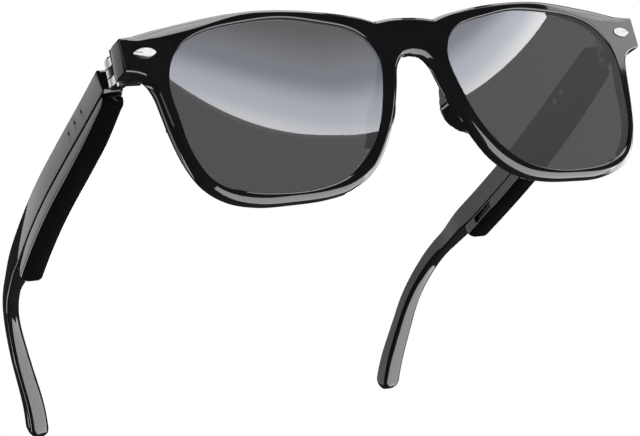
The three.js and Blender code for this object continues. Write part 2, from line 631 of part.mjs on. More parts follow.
function buttonSwitch() {
  const middle = buttonX();
  const top = TEMPLE_TOP - BAY_ROOF - GAP - BUTTON.flange - BUTTON.travel - 0.15;
  return box([middle - 0.8, middle + 0.8], [BUTTON.at - 1.5, BUTTON.at + 1.5], [top - SWITCH_HEIGHT, top]);
}

function microphone() {
  const outer = bayBox(BOARD_BAY, GAP).x[1];
  const [y, long] = [MIC_HOLES[1], MIC_SIZE.along / 2];
  const [z, high] = [TEMPLE_TOP - MIC_DROP, MIC_SIZE.tall / 2];
  return box([outer - MIC_SIZE.across, outer], [y - long, y + long], [z - high, z + high]);
}

function chargeContact(i) {
  const face = innerX(contactY(i), SLAB_THICKNESS);
  const room = bayBox(BOARD_BAY);
  const pad = crossPin(CONTACT.radius, [face - CONTACT.proud, room.x[0] + 0.1], contactY(i), contactZ);
  const tail = crossPin(CONTACT.radius * 0.5, [face, room.x[0] + 0.6], contactY(i), contactZ, 10);
  return pad.add(tail);
}

function statusLight() {
  const reach = [innerX(LIGHT.at, SLAB_THICKNESS) + 0.05, bayBox(BOARD_BAY).x[0] + 0.5];
  return crossPin(LIGHT.radius, reach, LIGHT.at, TEMPLE_TOP - LIGHT.drop, 12);
}

// ---------------------------------------------------------------- assembly

const paint = (color, roughness, metalness, opacity = 1) => () => new THREE.MeshStandardMaterial({
  color, roughness, metalness, opacity, transparent: opacity < 1,
});
const glossBlack = paint(0x08080a, 0.08, 0);
const smokeGrey = paint(0x4f5052, 0.05, 0, 0.75);
const chrome = paint(0xe8e8ea, 0.12, 1);
const satinSteel = paint(0xb9bab6, 0.3, 1);
const springSteel = paint(0x8d8f92, 0.4, 1);
const gold = paint(0xd0a75a, 0.25, 1);
const foil = paint(0xa9adb2, 0.45, 0.6);
const boardGreen = paint(0x1c5a3c, 0.55, 0);
const darkPlastic = paint(0x1b1c1e, 0.5, 0);
const clearLight = paint(0xdfe6ea, 0.2, 0, 0.7);

const glasses = new THREE.Group();
glasses.name = 'smart_glasses';

function place(name, geometry, material) {
  const mesh = new THREE.Mesh(geometry, material());
  mesh.name = name;
  glasses.add(mesh);
}

// Each piece of the +X side, with its mirror image on the -X side.
function pair(name, body, material, matrix = null) {
  const geometry = surface(matrix ? moved(body, matrix) : body);
  place(`${name}_left`, geometry, material);
  place(`${name}_right`, mirrored(geometry), material);
}

place('front_frame', frontSurface, glossBlack);
pair('lens', lens(), smokeGrey);
pair('corner_inlay', rivet(), chrome);
pair('front_hinge_leaf', frontLeaf(), satinSteel);
pair('front_leaf_screw', frontLeafScrew(), springSteel);
pair('hinge_screw', hingeScrew(), springSteel, hinge);
pair('temple_hinge_leaf', templeLeaf(), satinSteel, temple);
pair('temple_leaf_screw', templeLeafScrew(), springSteel, temple);
pair('temple_shell', templeShell(), glossBlack, temple);
pair('temple_cover', templeCover(), glossBlack, temple);
pair('arm_core_wire', coreTube(CORE_RADIUS, 0.02), springSteel, temple);
pair('circuit_board', circuitBoard(), boardGreen, temple);
pair('audio_chip', boardChip(), darkPlastic, temple);
pair('battery', battery(), foil, temple);
pair('speaker', speaker(), darkPlastic, temple);
pair('speaker_grille', speakerGrille(), springSteel, temple);
pair('button', button(), glossBlack, temple);
pair('button_switch', buttonSwitch(), foil, temple);
pair('microphone', microphone(), foil, temple);
pair('charge_contact_front', chargeContact(0), gold, temple);
pair('charge_contact_rear', chargeContact(1), gold, temple);
pair('status_light', statusLight(), clearLight, temple);

const bounds = new THREE.Box3().setFromObject(glasses);
const middle = bounds.getCenter(new THREE.Vector3());
glasses.position.set(-middle.x, -middle.y, -bounds.min.z);
glasses.updateMatrixWorld(true);

export default glasses;
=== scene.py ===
"""Smart glasses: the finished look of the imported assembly, made by one operator for each piece or group."""

import json
import math

import bmesh
import bpy
from bpy.props import FloatProperty, FloatVectorProperty, PointerProperty
from mathutils import Matrix, Vector


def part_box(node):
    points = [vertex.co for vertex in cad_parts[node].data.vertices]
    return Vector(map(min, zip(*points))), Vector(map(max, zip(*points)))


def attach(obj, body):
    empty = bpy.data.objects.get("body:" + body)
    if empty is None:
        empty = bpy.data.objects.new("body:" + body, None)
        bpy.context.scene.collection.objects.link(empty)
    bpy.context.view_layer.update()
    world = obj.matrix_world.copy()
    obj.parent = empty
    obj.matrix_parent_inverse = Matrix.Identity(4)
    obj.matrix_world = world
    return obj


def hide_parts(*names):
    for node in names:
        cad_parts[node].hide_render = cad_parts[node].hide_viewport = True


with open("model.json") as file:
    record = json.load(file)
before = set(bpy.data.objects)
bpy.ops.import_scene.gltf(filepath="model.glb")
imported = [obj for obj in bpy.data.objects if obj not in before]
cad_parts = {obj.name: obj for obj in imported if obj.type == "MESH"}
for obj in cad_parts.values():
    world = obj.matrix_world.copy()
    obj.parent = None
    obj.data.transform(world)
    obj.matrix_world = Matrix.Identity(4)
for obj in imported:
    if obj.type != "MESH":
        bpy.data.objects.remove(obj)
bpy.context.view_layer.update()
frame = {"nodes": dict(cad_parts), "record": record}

bl_info = {
    "name": "Smart Glasses",
    "version": (1, 0, 0),
    "blender": (4, 5, 0),
    "location": "3D View > Sidebar > Glasses",
    "description": "Builds a pair of smart glasses around its packed frame",
    "category": "Object",
}

MM = 0.001
LEFT, RIGHT = 1, -1
SIDE_NAME = {LEFT: "left", RIGHT: "right"}

# Sizes of the assembly, in millimetres and degrees, as the solids have them
LENS_WIDTH, LENS_HEIGHT, LENS_GAP, LENS_TOP = 52.6, 42.4, 20.6, 0.85
LENS_SEAT, LENS_THICKNESS, GROOVE_BITE = 0.7, 2.0, 0.6
FACE_RADIUS, FRONT_DEPTH = 424.0, 4.4
HALF_WIDTH, END_TOP, END_HEIGHT, END_BACK, END_WALL = 73.1, -0.4, 8.2, 12.6, 7.6
INLAY_LENGTH, INLAY_HEIGHT, INLAY_INSET, INLAY_DROP = 5.5, 2.6, 5.3, 4.3
HINGE_INSET, HINGE_BACK, HINGE_LEVEL = 2.5, 17.48, -0.81
TEMPLE_PITCH, TEMPLE_START, TEMPLE_TOP = -6.3, 3.2, 2.0
SLAB_HEIGHT, SLAB_THICKNESS = 6.2, 5.8
HOUSING_HEIGHT, HOUSING_THICKNESS, HOUSING_END, COVER_START = 11.2, 6.6, 84.0, 4.6
ARM_HEIGHT, ARM_THICKNESS = 5.5, 3.8
BEND_START, BEND_RADIUS, BEND_ANGLE = 99.0, 38.0, 45.0
TIP_RADIUS, TIP_THICKNESS, TIP_INWARD, TEMPLE_BULGE = 3.3, 5.2, 13.4, 1.9
SEAM = 0.3
MIC_HOLES, MIC_DROP, MIC_HOLE_RADIUS = (17.0, 21.6, 26.2), 2.6, 0.45
BUTTON_AT, BUTTON_LENGTH, BUTTON_WIDTH, BUTTON_PROUD, BUTTON_MARGIN = 30.5, 5.4, 1.7, 0.5, 0.15
GRILLE_AT, GRILLE_LENGTH, GRILLE_HEIGHT, GRILLE_DROP = 73.25, 9.0, 1.9, 8.1

OPENING_EASE, OPENING_DRAFT, FACET_STRETCH = 0.25, 1.9, 0.9
LENS_SAG = (LENS_HEIGHT / 2) ** 2 / (2 * FACE_RADIUS)
LENS_X = (LENS_GAP + LENS_WIDTH) / 2
LENS_Z = LENS_TOP - LENS_HEIGHT / 2
# Lens outline in fractions of its width and height, from the outer edge over the top to the nose and back
LENS_SHAPE = (
    (0.5, 0.154), (0.477, 0.289), (0.409, 0.397), (0.308, 0.456), (0.108, 0.492), (-0.065, 0.499),
    (-0.23, 0.463), (-0.403, 0.402), (-0.471, 0.324), (-0.5, 0.211), (-0.464, -0.015), (-0.413, -0.183),
    (-0.348, -0.31), (-0.219, -0.44), (-0.065, -0.494), (0.116, -0.496), (0.276, -0.463), (0.397, -0.383),
    (0.462, -0.225), (0.49, 0.008),
)

JOINTS = {j["name"]: j for j in frame["record"]["behaviour"]["joints"]}
FOLD = JOINTS["temple_fold_left"]
HINGE = Vector(FOLD["pos_m"]) / MM
FRONT_TILT = math.degrees(math.atan2(-FOLD["axis"][1], FOLD["axis"][2]))
FRONT_ORIGIN = HINGE - Vector((HALF_WIDTH - HINGE_INSET, HINGE_BACK, HINGE_LEVEL))
TO_METRES = Matrix.Scale(MM, 4)
FRONT_PLACE = TO_METRES @ Matrix.Translation(FRONT_ORIGIN) @ Matrix.Rotation(math.radians(FRONT_TILT), 4, "X")
TEMPLE_PLACE = TO_METRES @ Matrix.Translation(HINGE) @ Matrix.Rotation(math.radians(TEMPLE_PITCH), 4, "X")


# ---------------------------------------------------------------- curves


def spline(points, step, closed=False):
    """Points along a centripetal Catmull-Rom curve through the given points, about one step apart."""
    p = [Vector((*q, 0.0)) if len(q) == 2 else Vector(q) for q in points]
    if closed:
        p = [p[-1], *p, p[0], p[1]]
    else:
        p = [2 * p[0] - p[1], *p, 2 * p[-1] - p[-2]]
    found = []
    for a, b, c, d in zip(p, p[1:], p[2:], p[3:]):
        t1 = max((b - a).length, 1e-6) ** 0.5
        t2 = t1 + max((c - b).length, 1e-6) ** 0.5
        t3 = t2 + max((d - c).length, 1e-6) ** 0.5
        count = max(1, round((c - b).length / step))
        for k in range(count):
            t = t1 + (t2 - t1) * k / count
            ab = a * (t1 - t) / t1 + b * t / t1
            bc = b * (t2 - t) / (t2 - t1) + c * (t - t1) / (t2 - t1)
            cd = c * (t3 - t) / (t3 - t2) + d * (t - t2) / (t3 - t2)
            abc = ab * (t2 - t) / t2 + bc * t / t2
            bcd = bc * (t3 - t) / (t3 - t1) + cd * (t - t1) / (t3 - t1)
            found.append(abc * (t2 - t) / (t2 - t1) + bcd * (t - t1) / (t2 - t1))
    if not closed:
        found.append(p[-2])
    return found


def smoothstep(x, low, high):
    t = min(1.0, max(0.0, (x - low) / (high - low)))
    return t * t * (3 - 2 * t)


def read_off(curve, at, across=0, up=1):
    """The height of a curve at a place along it."""
    for a, b in zip(curve, curve[1:]):
        if b[across] >= at:
            return a[up] + (b[up] - a[up]) * max(0.0, at - a[across]) / max(b[across] - a[across], 1e-6)
    return curve[-1][up]


def face_y(x):
    return x * x / (2 * FACE_RADIUS)


def lens_outline(side, offset, draft=0.0):
    """The lens opening of one side in the flat of the front, moved outwards by an offset.

    A draft moves it out further at the top and the sides.
    """
    points = spline([(LENS_X + u * LENS_WIDTH, LENS_Z + v * LENS_HEIGHT) for u, v in LENS_SHAPE], 1.3, True)
    moved = []
    for i, p in enumerate(points):
        along = points[(i + 1) % len(points)] - points[i - 1]
        normal = Vector((along.y, -along.x)).normalized()
        reach = offset + draft * (0.6 + 0.4 * abs(normal.x)) * smoothstep(normal.y, -0.75, 0.1)
        moved.append((side * (p.x + normal.x * reach), p.y + normal.y * reach))
    return moved


OUTLINE_STEP = 1.1
BROW_LINE = spline([(8.6, -0.85), (12.5, 0.45), (20, 1.95), (30, 3.25), (41, 3.75), (52, 3.1), (62, 1.75),
                    (HALF_WIDTH, END_TOP)], OUTLINE_STEP)


def front_outline():
    """The outer edge of the front, from the middle of the bridge round both rims."""
    bridge_top = spline([(0, -0.1), (4.5, -0.25), (8.6, -0.85)], OUTLINE_STEP)
    under = spline([(HALF_WIDTH, END_TOP - END_HEIGHT), (71.2, -8.9), (69.2, -9.7), (67.8, -11.3), (67.0, -14.2),
                    (66.3, -18.5), (65.2, -25), (63.4, -31.8), (60.3, -37.7), (55.4, -41.6), (48.5, -43.6),
                    (40, -44.0), (31, -43.7), (24, -42.2), (17.6, -38.2), (12.2, -31.2), (8.7, -24.6),
                    (6.3, -17.9), (4.75, -12.7), (2.8, -10.3), (0, -9.7)], OUTLINE_STEP)
    half = [*bridge_top[:-1], *BROW_LINE, *under]
    other = [Vector((-p.x, p.y, 0)) for p in reversed(half[1:-1])]
    return [(p.x, p.y) for p in [*half, *other]]


# ---------------------------------------------------------------- mesh tools


def deselect():
    if bpy.context.object and bpy.context.object.mode != "OBJECT":
        bpy.ops.object.mode_set(mode="OBJECT")
    bpy.ops.object.select_all(action="DESELECT")


def only(obj):
    deselect()
    obj.select_set(True)
    bpy.context.view_layer.objects.active = obj
    return obj


def edit(obj, select="SELECT"):
    only(obj)
    bpy.ops.object.mode_set(mode="EDIT")
    bpy.ops.mesh.select_mode(type="VERT")
    bpy.ops.mesh.select_all(action=select)


def leave_edit():
    bpy.ops.object.mode_set(mode="OBJECT")


def outline_plate(name, loops, depth):
    """A flat plate in X and Z: the first loop is its edge, the others are holes. It runs from Y 0 to depth."""
    deselect()
    bpy.ops.mesh.primitive_circle_add(vertices=len(loops[0]), radius=1.0)
    obj = bpy.context.object
    obj.name = obj.data.name = name
    bpy.ops.object.mode_set(mode="EDIT")
    for loop in loops[1:]:
        bpy.ops.mesh.primitive_circle_add(vertices=len(loop), radius=1.0)
    leave_edit()
    places = [p for loop in loops for p in loop]
    for vertex, (x, z) in zip(obj.data.vertices, places):
        vertex.co = (x, 0.0, z)
    edit(obj)
    bpy.ops.mesh.fill(use_beauty=True)
    bpy.ops.mesh.select_all(action="SELECT")
    bpy.ops.mesh.extrude_region_move(TRANSFORM_OT_translate={"value": (0, depth, 0)})
    bpy.ops.mesh.select_all(action="SELECT")
    bpy.ops.mesh.normals_make_consistent(inside=False)
    leave_edit()
    return obj


def loft(name, rings):
    """A closed skin over rings with the same number of points, with flat ends."""
    across, along = len(rings[0]), len(rings)
    deselect()
    bpy.ops.mesh.primitive_grid_add(x_subdivisions=across, y_subdivisions=along - 1, size=2)
    obj = bpy.context.object
    obj.name = obj.data.name = name
    order = sorted(obj.data.vertices, key=lambda v: (round(v.co.y, 4), v.co.x))
    for i, vertex in enumerate(order):
        ring, k = divmod(i, across + 1)
        vertex.co = rings[ring][k % across]
    edit(obj)
    bpy.ops.mesh.remove_doubles(threshold=1e-5)
    bpy.ops.mesh.fill_holes(sides=0)
    bpy.ops.mesh.select_all(action="SELECT")
    bpy.ops.mesh.normals_make_consistent(inside=False)
    leave_edit()
    return obj


def rounded_section(low_x, high_x, low_z, high_z, radii, steps=5):
    """A rounded rectangle in X and Z; radii of the corners +X+Z, -X+Z, -X-Z and +X-Z."""
    corners = ((high_x, high_z, 0), (low_x, high_z, 1), (low_x, low_z, 2), (high_x, low_z, 3))
    limit = 0.49 * min(high_x - low_x, high_z - low_z)
    points = []
    for x, z, quarter in corners:
        r = min(radii[quarter], limit)
        cx = x - r if quarter in (0, 3) else x + r
        cz = z - r if quarter in (0, 1) else z + r
        for k in range(steps + 1):
            turn = math.pi / 2 * (quarter + k / steps)
            points.append((cx + r * math.cos(turn), cz + r * math.sin(turn)))
    return points


def cut(obj, cutter):
    """Takes the cutter's shape out of a piece and deletes the cutter."""
    only(obj)
    modifier = obj.modifiers.new("cut", "BOOLEAN")
    modifier.operation = "DIFFERENCE"
    modifier.solver = "EXACT"
    modifier.object = cutter
    bpy.ops.object.modifier_apply(modifier=modifier.name)
    only(cutter)
    bpy.ops.object.delete()


def cross_bore(radius, length, middle):
    """A round cutter that lies along X."""
    deselect()
    bpy.ops.mesh.primitive_cylinder_add(vertices=24, radius=radius, depth=length)
    obj = bpy.context.object
    obj.data.transform(Matrix.Translation(middle) @ Matrix.Rotation(math.pi / 2, 4, "Y"))
    return obj


def block(low, high, rounding=0.0, segments=4):
    """A box between two corners, rounded on its upright edges when asked."""
    deselect()
    bpy.ops.mesh.primitive_cube_add(size=1.0)
    obj = bpy.context.object
    low, high = Vector(low), Vector(high)
    obj.data.transform(Matrix.Translation((low + high) / 2) @ Matrix.Diagonal((*(high - low), 1.0)))
    if rounding > 0:
        bevel(obj, rounding, segments, angle=30)
    return obj


def bevel(obj, width, segments, angle=35, weighted=False, profile=0.5):
    only(obj)
    modifier = obj.modifiers.new("edges", "BEVEL")
    modifier.width = width
    modifier.segments = segments
    modifier.limit_method = "WEIGHT" if weighted else "ANGLE"
    modifier.angle_limit = math.radians(angle)
    modifier.use_clamp_overlap = not weighted
    modifier.loop_slide = not weighted
    modifier.profile = profile
    bpy.ops.object.modifier_apply(modifier=modifier.name)


def smooth(obj, angle=42):
    """Smooth shading that keeps the flat faces flat."""
    only(obj)
    bpy.ops.object.shade_smooth_by_angle(angle=math.radians(angle))
    modifier = obj.modifiers.new("even_normals", "WEIGHTED_NORMAL")
    modifier.keep_sharp = True
    modifier.weight = 60
    bpy.ops.object.modifier_apply(modifier=modifier.name)


def place(obj, matrix, side=LEFT):
    """Puts a drawn piece where it belongs, in metres, and mirrors it for the other side."""
    if side == RIGHT:
        matrix = Matrix.Scale(-1, 4, (1, 0, 0)) @ matrix
    obj.data.transform(matrix)
    if matrix.determinant() < 0:
        obj.data.flip_normals()
    obj.data.update()
    return obj


def finish_piece(obj, name, body, material, nodes=()):
    obj.name = obj.data.name = name
    obj.data.materials.clear()
    obj.data.materials.append(material)
    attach(obj, body)
    if nodes:
        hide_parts(*nodes)
    return obj


def refined(node, edge):
    """A copy of a solid with its loose triangles merged and its edges rounded; the size is in millimetres."""
    source = frame["nodes"][node]
    obj = bpy.data.objects.new(f"{node}_finished", source.data.copy())
    bpy.context.collection.objects.link(obj)
    edit(obj)
    bpy.ops.mesh.remove_doubles(threshold=1e-6)
    bpy.ops.mesh.dissolve_limited(angle_limit=math.radians(1.0))
    leave_edit()
    bevel(obj, edge * MM, 2)
    smooth(obj, 40)
    return obj


# ---------------------------------------------------------------- materials


class Nodes:
    """A short way to write a node tree."""

    def __init__(self, tree):
        self.tree = tree

    def add(self, kind, inputs=None, **settings):
        node = self.tree.nodes.new(kind)
        for name, value in settings.items():
            setattr(node, name, value)
        for socket, value in (inputs or {}).items():
            if isinstance(value, bpy.types.NodeSocket):
                self.tree.links.new(value, node.inputs[socket])
            else:
                node.inputs[socket].default_value = value
        return node

    def maths(self, operation, first, second=0.0):
        return self.add("ShaderNodeMath", {0: first, 1: second}, operation=operation).outputs[0]

    def span(self, value, low, high):
        """Spreads a value from 0..1 over low..high."""
        return self.add("ShaderNodeMapRange", {"Value": value, "To Min": low, "To Max": high}).outputs["Result"]

    def noise(self, place, scale, detail=3.0, roughness=0.5):
        return self.add("ShaderNodeTexNoise", {"Vector": place, "Scale": scale, "Detail": detail,
                                               "Roughness": roughness}).outputs["Fac"]

    def tinted(self, factor, dark, light):
        ramp = self.add("ShaderNodeValToRGB", {"Fac": factor})
        ramp.color_ramp.elements[0].color = (*dark, 1.0)
        ramp.color_ramp.elements[1].color = (*light, 1.0)
        return ramp.outputs["Color"]


def new_material(name):
    material = bpy.data.materials.new(name)
    material.use_nodes = True
    tree = material.node_tree
    tree.nodes.clear()
    nodes = Nodes(tree)
    shader = nodes.add("ShaderNodeBsdfPrincipled")
    output = nodes.add("ShaderNodeOutputMaterial")
    tree.links.new(shader.outputs["BSDF"], output.inputs["Surface"])
    where = nodes.add("ShaderNodeTexCoord").outputs["Object"]
    return material, nodes, shader, where


def wire(nodes, shader, **sockets):
    for name, value in sockets.items():
        socket = shader.inputs[name.replace("_", " ")]
        if isinstance(value, bpy.types.NodeSocket):
            nodes.tree.links.new(value, socket)
        else:
            socket.default_value = value


def stretched(nodes, where, scale):
    return nodes.add("ShaderNodeMapping", {"Vector": where, "Scale": scale}).outputs["Vector"]


def bumped(nodes, height, strength, distance):
    sockets = {"Height": height, "Strength": strength, "Distance": distance}
    return nodes.add("ShaderNodeBump", sockets).outputs["Normal"]


def polished_plastic(name, colour, roughness):
    """Tumbled and polished plastic: a faint flow in the gloss and a few hairline rub marks."""
    material, nodes, shader, where = new_material(name)
    flow = nodes.noise(where, 60.0, 4.0)
    rubs = nodes.noise(stretched(nodes, where, (400, 2600, 900)), 1.0, 6.0, 0.7)
    rub_range = {"Value": rubs, "From Min": 0.62, "From Max": 0.75}
    rub_mask = nodes.add("ShaderNodeMapRange", rub_range).outputs["Result"]
    gloss = nodes.add("ShaderNodeMath", {0: nodes.span(flow, roughness * 0.6, roughness * 1.5),
                                         1: nodes.span(rub_mask, 0.0, 0.06)}, operation="ADD").outputs[0]
    cloud = nodes.noise(where, 160.0, 5.0)
    dark = tuple(c * 0.7 for c in colour)
    light = tuple(c * 1.4 for c in colour)
    wire(nodes, shader, Base_Color=nodes.tinted(cloud, dark, light), Roughness=gloss, IOR=1.5,
         Normal=bumped(nodes, nodes.noise(where, 220.0, 2.0), 0.02, 0.0001))
    return material


def smoke_lens(name, colour, alpha):
    """Smoke grey lens: lets a little light straight through and reflects like polished polycarbonate."""
    material, nodes, shader, where = new_material(name)
    smear = nodes.noise(stretched(nodes, where, (60, 60, 140)), 1.0, 4.0)
    cloud = nodes.noise(where, 40.0, 2.0)
    dark = tuple(c * 0.92 for c in colour)
    light = tuple(c * 1.08 for c in colour)
    wire(nodes, shader, Base_Color=nodes.tinted(cloud, dark, light), Roughness=nodes.span(smear, 0.004, 0.012),
         IOR=1.6, Alpha=alpha)
    return material


def metal(name, dark, light, roughness, grain=(300, 300, 4000), bump=0.05):
    """Metal with a fine grain along one way and small changes of colour."""
    material, nodes, shader, where = new_material(name)
    lines = nodes.noise(stretched(nodes, where, grain), 1.0, 6.0, 0.65)
    cloud = nodes.noise(where, 300.0, 4.0)
    wire(nodes, shader, Base_Color=nodes.tinted(cloud, dark, light), Metallic=1.0,
         Roughness=nodes.span(lines, roughness * 0.6, roughness * 1.4),
         Normal=bumped(nodes, lines, bump, 0.00005))
    return material


def moulded(name, dark, light, roughness):
    """Fine matt moulded plastic or lacquer."""
    material, nodes, shader, where = new_material(name)
    speck = nodes.noise(where, 2500.0, 3.0)
    wire(nodes, shader, Base_Color=nodes.tinted(nodes.noise(where, 400.0, 4.0), dark, light),
         Roughness=nodes.span(speck, roughness * 0.8, roughness * 1.2), Normal=bumped(nodes, speck, 0.15, 0.00005))
    return material


MATERIALS = {}


def make_materials(look):
    plastic = tuple(look.plastic_colour)
    MATERIALS.update(
        gloss_black=polished_plastic("polished_black_plastic", plastic, look.plastic_roughness),
        smoke_lens=smoke_lens("smoke_lens", tuple(look.lens_colour), look.lens_density),
        bright_chrome=metal("bright_inlay_metal", (0.78, 0.78, 0.8), (0.93, 0.93, 0.94), 0.1, bump=0.02),
        hinge_steel=metal("satin_hinge_metal", (0.5, 0.5, 0.49), (0.72, 0.72, 0.7), 0.42),
        grille_black=metal("grille_black", (0.02, 0.02, 0.022), (0.05, 0.05, 0.052), 0.4),
        screw_steel=metal("screw_steel", (0.36, 0.36, 0.37), (0.55, 0.55, 0.56), 0.3),
        board_green=moulded("solder_mask", (0.008, 0.07, 0.035), (0.02, 0.13, 0.07), 0.45),
        dark_plastic=moulded("dark_moulding", (0.012, 0.012, 0.014), (0.03, 0.03, 0.033), 0.5),
        cell_foil=metal("cell_foil", (0.5, 0.52, 0.55), (0.66, 0.68, 0.7), 0.35, grain=(2000, 300, 2000), bump=0.2),
        contact_gold=metal("contact_gold", (0.74, 0.68, 0.56), (0.9, 0.86, 0.76), 0.2),
        light_guide=moulded("light_guide", (0.6, 0.64, 0.66), (0.8, 0.84, 0.86), 0.2),
    )


# ---------------------------------------------------------------- front


def brow_top(x):
    """The height of the brow line at a distance from the middle."""
    return read_off(BROW_LINE, abs(x))


def on_brow(x, z):
    return abs(x) > 8.7 and abs(z - brow_top(x)) < 0.05


def edge_share(x, z, on_opening, in_front, look):
    """How wide an edge of the front is rounded, as a share of the widest rounding."""
    widest = look.brow_rounding
    if on_opening:
        return (look.opening_rounding if in_front else 0.6) / widest
    near_end = smoothstep(abs(x), 64.0, 68.5) * smoothstep(z, -12.5, -9.0)
    crisp = look.crisp_rounding / widest
    if on_brow(x, z):
        if not in_front:
            return 0.35 * (1 - near_end) + crisp * near_end
        return brow_share(x, look)
    if not in_front:
        under_bridge = 1 - smoothstep(abs(x), 9.0, 16.0)
        share = 0.4 + 0.5 * under_bridge
        return share * (1 - near_end) + crisp * near_end
    low = smoothstep(-z, 12.0, 26.0)
    share = look.rim_rounding / widest * (1 - low) + 0.7 * low
    return share * (1 - near_end) + crisp * near_end


def spot(x, z):
    """A place in the flat of the front, rounded so that the same vertex always gives the same value."""
    exact = Vector((x, z))
    return round(exact.x, 3), round(exact.y, 3)


def weigh_edges(obj, openings, look):
    """Gives each sharp edge of the flat front its share of the rounding."""
    mesh = bmesh.new()
    mesh.from_mesh(obj.data)
    layer = mesh.edges.layers.float.new("bevel_weight_edge")
    inside = {spot(x, z) for loop in openings for x, z in loop}
    for edge in mesh.edges:
        if len(edge.link_faces) != 2 or edge.calc_face_angle(0.0) < math.radians(32):
            continue
        middle = (edge.verts[0].co + edge.verts[1].co) / 2
        on_opening = all(spot(v.co.x, v.co.z) in inside for v in edge.verts)
        edge[layer] = edge_share(middle.x, middle.z, on_opening, middle.y < 0.1, look)
    mesh.to_mesh(obj.data)
    mesh.free()


def draft_openings(obj, openings, drafted):
    """Widens the openings towards the back, so that they flare behind the lenses."""
    moves = {spot(x, z): new for loop, out in zip(openings, drafted) for (x, z), new in zip(loop, out)}
    for vertex in obj.data.vertices:
        new = moves.get(spot(vertex.co.x, vertex.co.z))
        if new and vertex.co.y > FRONT_DEPTH / 2:
            vertex.co.x, vertex.co.z = new


def brow_share(x, look):
    """The rounding of the brow line, as a share of the widest rounding."""
    share = 0.5 + 0.5 * smoothstep(abs(x), LENS_X + 2.0, HALF_WIDTH - 14.0)
    to_corner = smoothstep(abs(x), HALF_WIDTH - 6.0, HALF_WIDTH)
    return share * (1 - to_corner) + look.crisp_rounding / look.brow_rounding * to_corner


def draw_down_brow(obj, look):
    """Draws the rounding of the brow down into a broad sloping facet towards the corners."""
    for vertex in obj.data.vertices:
        x, y, z = vertex.co
        below = brow_top(x) - z
        width = look.brow_rounding * brow_share(x, look)
        swell = smoothstep(abs(x), LENS_X + 2.0, HALF_WIDTH - 14.0) * (1 - 0.7 * smoothstep(abs(x), 60.0, 68.0))
        if swell > 0 and -0.1 < below < width * 1.25 and y < width * 1.05:
            vertex.co.z = brow_top(x) - below * (1 + FACET_STRETCH * swell)


def draw_out_end_pieces(obj):
    """Carries the back of both end pieces out to where the hinges sit."""
    floor = END_TOP - END_HEIGHT - 0.8
    wall = HALF_WIDTH - END_WALL
    mesh = bmesh.new()
    mesh.from_mesh(obj.data)
    for co, no in (((wall, 0, 0), (1, 0, 0)), ((-wall, 0, 0), (1, 0, 0)), ((0, 0, floor), (0, 0, 1))):
        beyond = 0.0 if no[0] else wall
        back = [f for f in mesh.faces if f.normal.y > 0.9 and abs(f.calc_center_median().x) >= beyond]
        near = {g for f in back for g in (*f.verts, *f.edges, f)}
        bmesh.ops.bisect_plane(mesh, geom=list(near), plane_co=co, plane_no=no, dist=1e-4)
    mesh.to_mesh(obj.data)
    mesh.free()
    edit(obj, "DESELECT")
    bpy.ops.mesh.select_mode(type="FACE")
    live = bmesh.from_edit_mesh(obj.data)
    for face in live.faces:
        middle = face.calc_center_median()
        face.select = face.normal.y > 0.9 and abs(middle.x) > wall and middle.z > floor
    bmesh.update_edit_mesh(obj.data)
    reach = END_BACK - FRONT_DEPTH - face_y(HALF_WIDTH - END_WALL / 2)
    bpy.ops.mesh.extrude_region_move(TRANSFORM_OT_translate={"value": (0, reach, 0)})
    leave_edit()


def slice_upright(obj, half, step, axis="X"):
    """Cuts a plate into strips, so that it can take a bend."""
    edit(obj)
    count = int(half / step)
    for k in range(-count, count + 1):
        co = (k * step + 0.013, 0, 0) if axis == "X" else (0, 0, LENS_Z + k * step + 0.013)
        no = (1, 0, 0) if axis == "X" else (0, 0, 1)
        bpy.ops.mesh.select_all(action="SELECT")
        bpy.ops.mesh.bisect(plane_co=co, plane_no=no, threshold=1e-4)
    leave_edit()


def flat_sides(obj):
    """The vertices on the flat front and back of a plate, with the way they face."""
    found = {}
    for face in obj.data.polygons:
        if abs(face.normal.y) > 0.999:
            found.update({index: math.copysign(1.0, face.normal.y) for index in face.vertices})
    return found


def even_normals(obj, flat):
    """Smooth shading whose flat sides follow the wrap of the face exactly."""
    only(obj)
    bpy.ops.object.shade_smooth_by_angle(angle=math.radians(35))
    mesh = obj.data
    normals = [corner.vector.copy() for corner in mesh.corner_normals]
    for face in mesh.polygons:
        for corner in face.loop_indices:
            vertex = mesh.loops[corner].vertex_index
            if vertex in flat:
                x = mesh.vertices[vertex].co.x
                ideal = flat[vertex] * Vector((-x / FACE_RADIUS, 1.0, 0.0)).normalized()
                if ideal.dot(face.normal) > 0.3:
                    normals[corner] = ideal
    mesh.normals_split_custom_set(normals)


def wrap(obj):
    """Bends a flat piece to the wrap of the face; the end pieces keep a straight back."""
    for vertex in obj.data.vertices:
        x, y, z = vertex.co
        lift = face_y(x)
        if y > FRONT_DEPTH:
            t = min(1.0, (y - FRONT_DEPTH) / 4.0)
            lift = lift * (1 - t) + face_y(HALF_WIDTH - END_WALL / 2) * t
        lean = x / FACE_RADIUS * (1 - smoothstep(z, -16.0, -10.0) * smoothstep(abs(x), 52.0, 62.0))
        vertex.co.x -= min(y, FRONT_DEPTH) * lean
        vertex.co.y += lift


